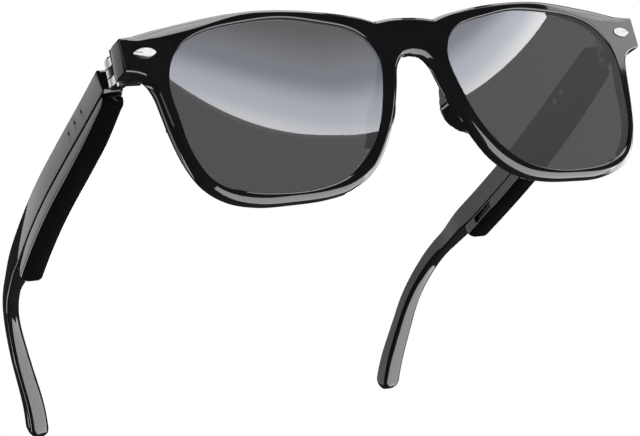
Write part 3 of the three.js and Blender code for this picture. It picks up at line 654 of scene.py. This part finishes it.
def make_front(look):
    openings = [lens_outline(side, OPENING_EASE) for side in (LEFT, RIGHT)]
    drafted = [lens_outline(side, OPENING_EASE, OPENING_DRAFT) for side in (LEFT, RIGHT)]
    obj = outline_plate("front", [front_outline(), *openings], FRONT_DEPTH)
    draft_openings(obj, openings, drafted)
    draw_out_end_pieces(obj)
    weigh_edges(obj, openings + drafted, look)
    bevel(obj, look.brow_rounding, 6, weighted=True, profile=0.36)
    draw_down_brow(obj, look)
    for side in (LEFT, RIGHT):
        carve_inlay_pocket(obj, side)
    slice_upright(obj, HALF_WIDTH, 3.0)
    flat = flat_sides(obj)
    wrap(obj)
    even_normals(obj, flat)
    place(obj, FRONT_PLACE)
    finish_piece(obj, "front_frame_finished", "front", MATERIALS["gloss_black"], ["front_frame"])


def pad_section(t, side):
    """One slice of a nose pad: a low hump on the back of the rim, along the nose."""
    path = ((5.0, -10.5), (5.9, -15.0), (7.3, -19.8), (9.2, -24.6), (11.6, -29.2), (14.6, -33.4))
    points = spline(path, 0.5)
    at = points[round(t * (len(points) - 1))]
    swell = math.sin(math.pi * t ** 1.35) ** 1.3
    back = FRONT_DEPTH - 2.4 + 6.0 * swell
    inner = at.x + 1.5 - 2.5 * swell
    outer = at.x + 4.2
    ring = []
    for x, y in rounded_section(inner, outer, 1.6, back, (1.6, 1.9, 0.6, 0.6), 6):
        ring.append((side * x, y + face_y(x), at.y + 0.25 * (x - at.x)))
    return ring


def make_nose_pads():
    for side in (LEFT, RIGHT):
        rings = [pad_section(k / 30, side) for k in range(31)]
        obj = loft("nose_pad", rings)
        smooth(obj, 50)
        place(obj, FRONT_PLACE)
        finish_piece(obj, f"nose_pad_{SIDE_NAME[side]}", "front", MATERIALS["gloss_black"])


def make_lenses():
    for side in (LEFT, RIGHT):
        obj = outline_plate("lens", [lens_outline(side, GROOVE_BITE, 1.2)], LENS_THICKNESS)
        bevel(obj, 0.25, 2)
        slice_upright(obj, HALF_WIDTH, 2.5)
        slice_upright(obj, LENS_HEIGHT / 2, 2.5, "Z")
        normals = []
        for vertex in obj.data.vertices:
            x, y, z = vertex.co
            facing = -1 if y < LENS_THICKNESS / 2 else 1
            normals.append(Vector((-x / FACE_RADIUS, 1.0, -(z - LENS_Z) / FACE_RADIUS)).normalized() * facing)
            vertex.co.y = y + LENS_SEAT - LENS_SAG + face_y(x) + (z - LENS_Z) ** 2 / (2 * FACE_RADIUS)
        only(obj)
        bpy.ops.object.shade_smooth()
        obj.data.normals_split_custom_set_from_vertices(normals)
        place(obj, FRONT_PLACE)
        name = f"lens_{SIDE_NAME[side]}"
        finish_piece(obj, f"{name}_finished", "front", MATERIALS["smoke_lens"], [name])


# ---------------------------------------------------------------- corner inlays


def leaf_outline(grow=0.0):
    long, high = INLAY_LENGTH / 2 + grow, INLAY_HEIGHT / 2 + grow
    shape = ((-1, 0.1), (-0.6, 0.72), (0.1, 0.98), (0.75, 0.62),
             (1, -0.05), (0.6, -0.7), (-0.1, -0.98), (-0.65, -0.55))
    return [(p.x, p.y) for p in spline([(-u * long, v * high) for u, v in shape], 0.25, True)]


def inlay_place(side):
    x = HALF_WIDTH - INLAY_INSET
    turn = Matrix.Rotation(math.atan(x / FACE_RADIUS), 4, "Z")
    return Matrix.Translation((x, face_y(x), END_TOP - INLAY_DROP)) @ turn


def carve_inlay_pocket(front, side):
    cutter = outline_plate("pocket", [leaf_outline(0.12)], 1.3)
    place(cutter, Matrix.Translation((HALF_WIDTH - INLAY_INSET, -0.5, END_TOP - INLAY_DROP)), side)
    cut(front, cutter)


def make_inlays():
    """Bright leaves let into the front corners: a domed face with one fine engraved vein."""
    for side in (LEFT, RIGHT):
        obj = outline_plate("inlay", [leaf_outline()], 1.0)
        obj.data.transform(Matrix.Translation((0, -0.22, 0)))
        bevel(obj, 0.22, 4)
        vein = block((0.5, -1.0, -0.12), (INLAY_LENGTH / 2 + 0.2, -0.02, 0.22))
        vein.data.transform(Matrix.Rotation(math.radians(-10), 4, "Y"))
        cut(obj, vein)
        smooth(obj, 40)
        place(obj, FRONT_PLACE @ inlay_place(side), side)
        name = f"corner_inlay_{SIDE_NAME[side]}"
        finish_piece(obj, f"{name}_finished", "front", MATERIALS["bright_chrome"], [name])


# ---------------------------------------------------------------- temples

STAND_LEVEL = -(FRONT_ORIGIN.z)
BEND = math.radians(BEND_ANGLE)
ARM_LINE = BEND_RADIUS - ARM_HEIGHT / 2
BEND_END = Vector((BEND_START + ARM_LINE * math.sin(BEND), TEMPLE_TOP - BEND_RADIUS + ARM_LINE * math.cos(BEND)))


def temple_tip():
    """The middle of the round tip, low enough to stand on what the rims stand on."""
    pitch = math.radians(TEMPLE_PITCH)
    level = HINGE_LEVEL + BEND_END.x * math.sin(pitch) + BEND_END.y * math.cos(pitch)
    length = (level - TIP_RADIUS - STAND_LEVEL) / math.sin(BEND - pitch)
    return BEND_END + length * Vector((math.cos(BEND), -math.sin(BEND)))


TIP = temple_tip()
OUTER_FACE = spline(
    [(x, y) for y, x in (
        (0, HINGE_INSET + 0.1), (18, HINGE_INSET + 0.75), (34, HINGE_INSET + 0.78 * TEMPLE_BULGE),
        (50, HINGE_INSET + TEMPLE_BULGE), (66, HINGE_INSET + 0.75 * TEMPLE_BULGE), (HOUSING_END, HINGE_INSET),
        (BEND_START - 3, HINGE_INSET - 0.13 * TIP_INWARD), (BEND_START + 11, HINGE_INSET - 0.32 * TIP_INWARD),
        (BEND_START + 24, HINGE_INSET - 0.6 * TIP_INWARD), (BEND_START + 36, HINGE_INSET - 0.92 * TIP_INWARD),
        (BEND_START + 43, HINGE_INSET - TIP_INWARD), (BEND_START + BEND_RADIUS + 14, HINGE_INSET - TIP_INWARD))],
    0.8)


INNER_CHAMFER, COVER_TAPER = 1.3, 0.8


def outer_x(y):
    """The outer face of a temple in plan."""
    return read_off(OUTER_FACE, y, 1, 0)


def slab_thickness(y):
    slim = smoothstep(y, HOUSING_END, BEND_START)
    full = smoothstep(y, BEND_START + 10, BEND_START + 34)
    return SLAB_THICKNESS + (ARM_THICKNESS - SLAB_THICKNESS) * slim + (TIP_THICKNESS - ARM_THICKNESS) * full


def arm_stations():
    """Middle, lean and half height of the temple, from its front end to its tip."""
    stations = []
    straight = [TEMPLE_START + 0.8 + k * (BEND_START - TEMPLE_START - 0.8) / 56 for k in range(57)]
    for y in straight:
        high = SLAB_HEIGHT + (ARM_HEIGHT - SLAB_HEIGHT) * smoothstep(y, HOUSING_END - 4, HOUSING_END + 5)
        stations.append((Vector((y, TEMPLE_TOP - high / 2)), 0.0, high / 2))
    for k in range(1, 17):
        turn = BEND * k / 16
        middle = Vector((BEND_START + ARM_LINE * math.sin(turn),
                         TEMPLE_TOP - BEND_RADIUS + ARM_LINE * math.cos(turn)))
        stations.append((middle, turn, ARM_HEIGHT / 2))
    for k in range(1, 13):
        middle = BEND_END.lerp(TIP, k / 12)
        stations.append((middle, BEND, ARM_HEIGHT / 2 + (TIP_RADIUS - ARM_HEIGHT / 2) * smoothstep(k / 12, 0, 1)))
    return stations


def arm_ring(middle, lean, half, inset=0.0, squeeze=1.0):
    """One section across the temple, upright along the housing and square to the arm behind it."""
    y = middle.x
    outer, inner = outer_x(y), outer_x(y) - slab_thickness(y) + max(0.0, INNER_CHAMFER + TEMPLE_START - y)
    soft = smoothstep(y, HOUSING_END - 2, BEND_START + 6)
    crisp, round_ = 0.45, 1.25
    radius = crisp + (round_ - crisp) * soft
    radii = (radius, radius * 1.2, radius * 1.3, radius)
    half = half * squeeze - inset
    centre_x = (outer + inner) / 2
    half_x = (outer - inner) / 2 * (0.35 + 0.65 * squeeze) - inset
    ring = []
    for x, z in rounded_section(centre_x - half_x, centre_x + half_x, -half, half, radii):
        ring.append((x, y + z * math.sin(lean), middle.y + z * math.cos(lean)))
    return ring


def temple_rings():
    stations = arm_stations()
    middle, lean, half = stations[0]
    rings = []
    for back, inset in ((0.8, 0.75), (0.55, 0.4), (0.28, 0.15)):
        rings.append(arm_ring(middle - Vector((back, 0)), lean, half, inset))
    rings += [arm_ring(*station) for station in stations]
    for k in range(1, 10):
        turn = math.radians(9.6 * k)
        ahead = TIP + TIP_RADIUS * math.sin(turn) * Vector((math.cos(BEND), -math.sin(BEND)))
        rings.append(arm_ring(ahead, BEND, TIP_RADIUS, 0.0, math.cos(turn)))
    return rings


def button_x():
    low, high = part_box("button_left")
    return (low.x + high.x) / 2 / MM - HINGE.x


def make_temples():
    for side in (LEFT, RIGHT):
        obj = loft("temple", temple_rings())
        for y in MIC_HOLES:
            cut(obj, cross_bore(MIC_HOLE_RADIUS, 2.4, (outer_x(y), y, TEMPLE_TOP - MIC_DROP)))
        x = button_x()
        wide, long = BUTTON_WIDTH / 2 + BUTTON_MARGIN, BUTTON_LENGTH / 2 + BUTTON_MARGIN
        cut(obj, block((x - wide, BUTTON_AT - long, TEMPLE_TOP - 1.2),
                       (x + wide, BUTTON_AT + long, TEMPLE_TOP + 2), 0.8))
        smooth(obj, 38)
        place(obj, TEMPLE_PLACE, side)
        name = f"temple_shell_{SIDE_NAME[side]}"
        finish_piece(obj, f"{name}_finished", f"temple_{SIDE_NAME[side]}",
                     MATERIALS["gloss_black"], [name])


COVER_TOP = TEMPLE_TOP - SLAB_HEIGHT - SEAM
COVER_BOTTOM = TEMPLE_TOP - HOUSING_HEIGHT
BELLY = spline([(COVER_START, COVER_TOP - 1.05), (COVER_START + 1.4, COVER_TOP - 1.95), (9, COVER_TOP - 2.5),
                (21, COVER_BOTTOM + 0.9), (34, COVER_BOTTOM + 0.15), (44, COVER_BOTTOM), (60, COVER_BOTTOM),
                (HOUSING_END, COVER_BOTTOM)], 0.5)


def cover_ring(y, inset=0.0, lift=0.0):
    outer = outer_x(y) - inset
    inner = outer_x(y) - HOUSING_THICKNESS + inset + max(0.0, INNER_CHAMFER + COVER_START - y)
    inner += COVER_TAPER * (1 - smoothstep(y, COVER_START, COVER_START + 20.0))
    low = read_off(BELLY, y) + inset + lift
    deep = COVER_TOP - low
    radius = min(3.0, deep * 0.8)
    section = rounded_section(inner, outer, low, COVER_TOP - inset * 0.3, (0.35, 0.5, radius, radius), 7)
    return [(x, y, z) for x, z in section]


def make_covers():
    """The lower housings: straight under the shell, round below, with a rounded step at the back."""
    for side in (LEFT, RIGHT):
        rings = [cover_ring(COVER_START + back, inset) for back, inset in ((0.0, 0.8), (0.12, 0.45), (0.45, 0.12))]
        count = 60
        last = HOUSING_END - 2.6
        for k in range(count + 1):
            rings.append(cover_ring(COVER_START + 0.9 + (last - COVER_START - 0.9) * k / count))
        for k in range(1, 10):
            turn = math.radians(9.8 * k)
            shrink = 1 - math.cos(turn)
            rings.append(cover_ring(last + 2.6 * math.sin(turn), 1.3 * shrink, 1.6 * shrink))
        obj = loft("cover", rings)
        inner = outer_x(GRILLE_AT) - HOUSING_THICKNESS
        z = TEMPLE_TOP - GRILLE_DROP
        cut(obj, block((inner - 1, GRILLE_AT - GRILLE_LENGTH / 2, z - GRILLE_HEIGHT / 2),
                       (inner + 1.6, GRILLE_AT + GRILLE_LENGTH / 2, z + GRILLE_HEIGHT / 2), 0.3))
        smooth(obj, 38)
        place(obj, TEMPLE_PLACE, side)
        name = f"temple_cover_{SIDE_NAME[side]}"
        finish_piece(obj, f"{name}_finished", f"temple_{SIDE_NAME[side]}",
                     MATERIALS["gloss_black"], [name])


def make_buttons():
    for side in (LEFT, RIGHT):
        x = button_x()
        obj = block((x - BUTTON_WIDTH / 2, BUTTON_AT - BUTTON_LENGTH / 2, TEMPLE_TOP - 1.0),
                    (x + BUTTON_WIDTH / 2, BUTTON_AT + BUTTON_LENGTH / 2, TEMPLE_TOP + BUTTON_PROUD), 0.4, 5)
        smooth(obj, 40)
        place(obj, TEMPLE_PLACE, side)
        name = f"button_{SIDE_NAME[side]}"
        finish_piece(obj, f"{name}_finished", name, MATERIALS["gloss_black"], [name])


# ---------------------------------------------------------------- small pieces from the solids

SLOT_OF = {s["node"]: s["material_slot"] for s in frame["record"]["subparts"]}
BODY_OF = {node: body for body, names in frame["record"]["behaviour"]["bodies"].items() for node in names}


HINGE_PIECES = ("front_hinge_leaf", "temple_hinge_leaf", "hinge_screw", "front_leaf_screw", "temple_leaf_screw")
DETAIL_PIECES = ("charge_contact_front", "charge_contact_rear", "status_light", "speaker_grille")
INSIDE_PIECES = ("circuit_board", "audio_chip", "battery", "speaker", "button_switch", "microphone", "arm_core_wire")
HINGE_EDGE, DETAIL_EDGE = 0.12, 0.06


def refine_group(stems, edge):
    """Rounds the edges of like pieces on both sides and gives them their finish."""
    for stem in stems:
        for side in ("left", "right"):
            node = f"{stem}_{side}"
            obj = refined(node, edge)
            slot = SLOT_OF[node]
            finish = "grille_black" if stem == "speaker_grille" else slot
            finish_piece(obj, f"{node}_finished", BODY_OF[node], MATERIALS[finish], [node])


def paint_solids(stems):
    """Gives the hidden solids their finish; their shapes stay as they are."""
    for stem in stems:
        for side in ("left", "right"):
            node = f"{stem}_{side}"
            obj = frame["nodes"][node]
            obj.data.materials.clear()
            obj.data.materials.append(MATERIALS[SLOT_OF[node]])


# ---------------------------------------------------------------- stage


LIGHT_LEVEL = Matrix.Rotation(math.radians(-2.0), 4, "X")


def softbox(name, toward, distance, size, radiance, only_on=None):
    """A soft light in the given direction from the glasses; when pieces are named, it lights only those."""
    toward = LIGHT_LEVEL @ Vector(toward).normalized()
    deselect()
    bpy.ops.object.light_add(type="AREA", location=toward * distance)
    obj = bpy.context.object
    obj.name = name
    obj.data.shape = "RECTANGLE"
    obj.data.size, obj.data.size_y = size
    obj.data.energy = radiance * math.pi * size[0] * size[1]
    obj.rotation_euler = (-toward).to_track_quat("-Z", "Y").to_matrix().to_4x4().to_euler()
    if only_on:
        shine_only_on(obj, only_on)


CEILING = 0.9


def ceiling_panel(name, low, high, radiance):
    """A panel of light facing down, over a rectangle in X and Y."""
    size = (high[0] - low[0], high[1] - low[1])
    deselect()
    middle = LIGHT_LEVEL @ Vector(((low[0] + high[0]) / 2, (low[1] + high[1]) / 2, CEILING))
    bpy.ops.object.light_add(type="AREA", location=middle, rotation=LIGHT_LEVEL.to_euler())
    obj = bpy.context.object
    obj.name = name
    obj.data.shape = "RECTANGLE"
    obj.data.size, obj.data.size_y = size
    obj.data.energy = radiance * math.pi * size[0] * size[1]


def shine_only_on(light, pieces):
    group = bpy.data.collections.new(f"{light.name}_receivers")
    for piece in pieces:
        group.objects.link(bpy.data.objects[piece])
    light.light_linking.receiver_collection = group


def make_world():
    world = bpy.data.worlds.new("studio")
    bpy.context.scene.world = world
    world.use_nodes = True
    world.node_tree.nodes.clear()
    nodes = Nodes(world.node_tree)
    seen = nodes.add("ShaderNodeLightPath").outputs["Is Camera Ray"]
    sockets = {0: seen, 6: (0.03, 0.03, 0.03, 1), 7: (1, 1, 1, 1)}
    shade = nodes.add("ShaderNodeMix", sockets, data_type="RGBA").outputs[2]
    ground = nodes.add("ShaderNodeBackground", {"Color": shade})
    nodes.add("ShaderNodeOutputWorld", {"Surface": ground.outputs["Background"]})


CAMERA_SENSOR = 36.0
CAMERA_FOCUS = 114.2325
CAMERA_PLACE = Vector((-258.7, -355.6, -228.7))
CAMERA_TARGET = Vector((-40.9, 0.23, -52.47))
CAMERA_ROLL = 18.57
CAMERA_LEVELLING = -2.6


def make_camera():
    """The camera looks up from below at the wearer's right side."""
    level = Matrix.Rotation(math.radians(CAMERA_LEVELLING), 4, "X")
    place_, target = (FRONT_ORIGIN + level @ v for v in (CAMERA_PLACE, CAMERA_TARGET))
    ahead = (target - place_).normalized()
    up = level @ Vector((0, 0, 1))
    right = ahead.cross(up).normalized()
    up = right.cross(ahead)
    roll = math.radians(CAMERA_ROLL)
    right, up = math.cos(roll) * right - math.sin(roll) * up, math.sin(roll) * right + math.cos(roll) * up
    deselect()
    bpy.ops.object.camera_add()
    camera = bpy.context.object
    camera.matrix_world = Matrix.Translation(place_ * MM) @ Matrix((right, up, -ahead)).transposed().to_4x4()
    camera.data.lens = CAMERA_FOCUS
    camera.data.sensor_width = CAMERA_SENSOR
    camera.data.clip_start = 0.01
    bpy.context.scene.camera = camera


FLOOR_LEVEL = -0.8


def make_stage():
    deselect()
    bpy.ops.mesh.primitive_plane_add(size=8.0, location=(0, 0, FLOOR_LEVEL))
    floor = bpy.context.object
    floor.name = "studio_floor"
    material, nodes, shader, where = new_material("pale_floor")
    shade = nodes.tinted(nodes.noise(where, 3.0), (0.76, 0.76, 0.76), (0.82, 0.82, 0.82))
    wire(nodes, shader, Base_Color=shade, Emission_Color=shade, Emission_Strength=0.8, Roughness=0.9)
    floor.data.materials.append(material)
    floor.visible_glossy = False
    bpy.context.scene.view_settings.view_transform = "Standard"
    make_world()
    make_camera()
    for name, low, high, shares in (("left", 0.05, 0.52, (6.0, 3.6, 0.3)), ("right", 0.58, 1.2, (3.4, 2.2, 0.2))):
        for zone, (front, back) in enumerate(((-0.8, -0.3), (-0.3, 0.2), (0.2, 0.9))):
            ceiling_panel(f"brow_{name}_{zone}", (low, front), (high, back), shares[zone])
    rims = ["front_frame_finished", "nose_pad_left", "nose_pad_right"]
    temples = [f"temple_shell_{side}_finished" for side in SIDE_NAME.values()]
    softbox("low_box", (0.22, -0.34, -0.75), 0.72, (1.8, 1.1), 6, only_on=rims + temples)
    softbox("low_right_box", (0.9, 0.1, -0.15), 0.9, (0.7, 0.6), 5, only_on=rims)
    softbox("edge_strip", (-0.79, -0.48, 0.38), 1.0, (0.35, 0.7), 1.6, only_on=rims)
    softbox("side_strip", (0.96, -0.03, 0.26), 1.2, (0.2, 0.7), 1.5, only_on=rims)
    softbox("temple_box", (-0.55, 0.85, 0.5), 1.2, (0.9, 0.6), 1.0)
    softbox("temple_strip", (-0.62, 0.85, 0.12), 1.2, (0.8, 0.1), 3.5)
    softbox("rear_box", (0.5, 1.0, 0.6), 1.3, (0.6, 0.6), 3)
    metal = [f"{name}_{side}_finished" for side in SIDE_NAME.values()
             for name in ("corner_inlay", "front_hinge_leaf", "temple_hinge_leaf", "hinge_screw")]
    softbox("metal_box", (0.45, -0.85, 0.15), 1.0, (1.2, 0.7), 1.0, only_on=metal)
    softbox("metal_side_box", (-0.6, 0.75, 0.4), 1.0, (1.6, 1.4), 0.45, only_on=metal)
    softbox("corner_box", (0.79, -0.466, 0.399), 1.7, (0.76, 0.68), 3.6, only_on=["front_frame_finished"])
    softbox("lens_fill", (0.66, -0.72, 0.12), 0.7, (1.6, 1.2), 0.62,
            only_on=[f"lens_{side}_finished" for side in SIDE_NAME.values()])
    make_lens_glow()


GLOW_LEFT, GLOW_RIGHT, GLOW_TOP, GLOW_STEP = 60, 1173, 620, 12
GLOW_LOWEST, GLOW_LOWEST_AT, GLOW_SPREAD, GLOW_AHEAD = 90.0, 427.0, 350.0, 1000.0


def glow_edge(x):
    """The lower edge of the glowing screen: steep on one side of its lowest place, slow on the other."""
    away = (x - GLOW_LOWEST_AT) / GLOW_SPREAD
    return GLOW_LOWEST + (155 * (-away) ** 2.8 if away < 0 else 105 * away ** 1.6)


def make_lens_glow():
    """A large glowing screen in front of the glasses, seen only as the reflection in the lenses."""
    outline = [(x, glow_edge(x)) for x in (*range(GLOW_LEFT, GLOW_RIGHT, GLOW_STEP), GLOW_RIGHT)]
    outline += [(GLOW_RIGHT, GLOW_TOP), (GLOW_LEFT, GLOW_TOP)]
    deselect()
    bpy.ops.mesh.primitive_circle_add(vertices=len(outline), radius=1.0)
    screen = bpy.context.object
    screen.name = "lens_glow"
    for vertex, (x, z) in zip(screen.data.vertices, outline):
        vertex.co = (x, -GLOW_AHEAD, z)
    edit(screen)
    bpy.ops.mesh.edge_face_add()
    leave_edit()
    level = Matrix.Rotation(math.radians(CAMERA_LEVELLING), 4, "X")
    screen.data.transform(TO_METRES @ Matrix.Translation(FRONT_ORIGIN) @ level)
    material = bpy.data.materials.new("lens_glow")
    material.use_nodes = True
    material.node_tree.nodes.clear()
    nodes = Nodes(material.node_tree)
    where = nodes.add("ShaderNodeTexCoord").outputs["Object"]
    axes = nodes.add("ShaderNodeSeparateXYZ", {"Vector": where}).outputs
    away = nodes.maths("ABSOLUTE", nodes.maths("SUBTRACT", axes["X"], 0.42))
    rise = nodes.maths("POWER", nodes.maths("DIVIDE", away, 0.33), 1.6)
    edge_height = nodes.maths("ADD", nodes.maths("MULTIPLY", rise, 0.105), 0.144)
    depth = nodes.maths("DIVIDE", nodes.maths("SUBTRACT", axes["Z"], edge_height), 0.3)
    ramp = nodes.add("ShaderNodeValToRGB", {"Fac": depth})
    ramp.color_ramp.interpolation = "EASE"
    ramp.color_ramp.elements[0].color = (1.0, 1.0, 1.0, 1)
    ramp.color_ramp.elements[1].position = 0.85
    ramp.color_ramp.elements[1].color = (0.06, 0.06, 0.062, 1)
    for at, colour in ((0.25, (0.56, 0.59, 0.68)), (0.5, (0.2, 0.213, 0.255))):
        ramp.color_ramp.elements.new(at).color = (*colour, 1)
    glow = nodes.add("ShaderNodeEmission", {"Color": ramp.outputs["Color"], "Strength": 12.0})
    nodes.add("ShaderNodeOutputMaterial", {"Surface": glow.outputs["Emission"]})
    screen.data.materials.append(material)
    screen.visible_camera = False
    screen.visible_diffuse = False
    screen.visible_transmission = False
    shine_only_on(screen, [f"lens_{side}_finished" for side in SIDE_NAME.values()])


# ---------------------------------------------------------------- add-on


class GlassesLook(bpy.types.PropertyGroup):
    """Sizes and colours that a user would change."""

    brow_rounding: FloatProperty(
        name="Brow rounding", description="Rounding of the brow near the corners, in mm", default=2.0, min=0.5, max=2.4)
    rim_rounding: FloatProperty(
        name="Rim rounding", description="Rounding of the rims, in mm", default=1.2, min=0.2, max=1.4)
    opening_rounding: FloatProperty(
        name="Opening rounding", description="Rounding round the lenses, in mm", default=0.55, min=0.1, max=1.2)
    crisp_rounding: FloatProperty(
        name="Corner rounding", description="Rounding of the end pieces, in mm", default=0.35, min=0.1, max=0.8)
    plastic_colour: FloatVectorProperty(
        name="Plastic", description="Colour of the front and temples", subtype="COLOR",
        default=(0.0035, 0.0035, 0.004), min=0, max=1)
    plastic_roughness: FloatProperty(
        name="Plastic roughness", description="Roughness of the polish", subtype="FACTOR",
        default=0.035, min=0, max=1)
    lens_colour: FloatVectorProperty(
        name="Lens", description="Colour of the lens body", subtype="COLOR",
        default=(0.03, 0.031, 0.033), min=0, max=1)
    lens_density: FloatProperty(
        name="Lens density", description="How much light each face of a lens stops", subtype="FACTOR",
        default=0.8, min=0, max=1)


class GLASSES_OT_finishes(bpy.types.Operator):
    """Make the finishes of all pieces"""

    bl_idname = "glasses.finishes"
    bl_label = "Finishes"

    def execute(self, context):
        make_materials(context.scene.glasses_look)
        return {"FINISHED"}


class GLASSES_OT_front(bpy.types.Operator):
    """Build the front with its rims, bridge and end pieces"""

    bl_idname = "glasses.front"
    bl_label = "Front"

    def execute(self, context):
        make_front(context.scene.glasses_look)
        make_nose_pads()
        return {"FINISHED"}


class GLASSES_OT_lenses(bpy.types.Operator):
    """Build the two smoke lenses"""

    bl_idname = "glasses.lenses"
    bl_label = "Lenses"

    def execute(self, context):
        make_lenses()
        return {"FINISHED"}


class GLASSES_OT_inlays(bpy.types.Operator):
    """Build the bright corner inlays"""

    bl_idname = "glasses.inlays"
    bl_label = "Corner inlays"

    def execute(self, context):
        make_inlays()
        return {"FINISHED"}


class GLASSES_OT_temples(bpy.types.Operator):
    """Build the temple shells with their ear arms"""

    bl_idname = "glasses.temples"
    bl_label = "Temples"

    def execute(self, context):
        make_temples()
        return {"FINISHED"}


class GLASSES_OT_covers(bpy.types.Operator):
    """Build the lower housings"""

    bl_idname = "glasses.covers"
    bl_label = "Covers"

    def execute(self, context):
        make_covers()
        return {"FINISHED"}


class GLASSES_OT_buttons(bpy.types.Operator):
    """Build the push buttons"""

    bl_idname = "glasses.buttons"
    bl_label = "Buttons"

    def execute(self, context):
        make_buttons()
        return {"FINISHED"}


class GLASSES_OT_hinges(bpy.types.Operator):
    """Round and finish the hinge leaves and screws"""

    bl_idname = "glasses.hinges"
    bl_label = "Hinges"

    def execute(self, context):
        refine_group(HINGE_PIECES, HINGE_EDGE)
        return {"FINISHED"}


class GLASSES_OT_details(bpy.types.Operator):
    """Round and finish the contacts, lights and grilles"""

    bl_idname = "glasses.details"
    bl_label = "Details"

    def execute(self, context):
        refine_group(DETAIL_PIECES, DETAIL_EDGE)
        return {"FINISHED"}


class GLASSES_OT_inside(bpy.types.Operator):
    """Finish the pieces inside the housings"""

    bl_idname = "glasses.inside"
    bl_label = "Inside"

    def execute(self, context):
        paint_solids(INSIDE_PIECES)
        return {"FINISHED"}


class GLASSES_OT_stage(bpy.types.Operator):
    """Set the floor, the lights and the camera"""

    bl_idname = "glasses.stage"
    bl_label = "Stage"

    def execute(self, context):
        make_stage()
        return {"FINISHED"}


OPERATORS = (
    GLASSES_OT_finishes, GLASSES_OT_front, GLASSES_OT_lenses, GLASSES_OT_inlays,
    GLASSES_OT_temples, GLASSES_OT_covers, GLASSES_OT_buttons, GLASSES_OT_hinges,
    GLASSES_OT_details, GLASSES_OT_inside, GLASSES_OT_stage,
)


class GLASSES_PT_panel(bpy.types.Panel):
    """Lists the building steps."""

    bl_label = "Smart Glasses"
    bl_space_type = "VIEW_3D"
    bl_region_type = "UI"
    bl_category = "Glasses"

    def draw(self, context):
        for operator in OPERATORS:
            self.layout.operator(operator.bl_idname)
        for name in GlassesLook.__annotations__:
            self.layout.prop(context.scene.glasses_look, name)


CLASSES = (GlassesLook, *OPERATORS, GLASSES_PT_panel)


def register():
    for cls in CLASSES:
        bpy.utils.register_class(cls)
    bpy.types.Scene.glasses_look = PointerProperty(type=GlassesLook)


def unregister():
    del bpy.types.Scene.glasses_look
    for cls in reversed(CLASSES):
        bpy.utils.unregister_class(cls)


def main():
    register()
    for operator in OPERATORS:
        getattr(bpy.ops.glasses, operator.bl_idname.split(".")[1])()


if __name__ == "__main__":
    main()
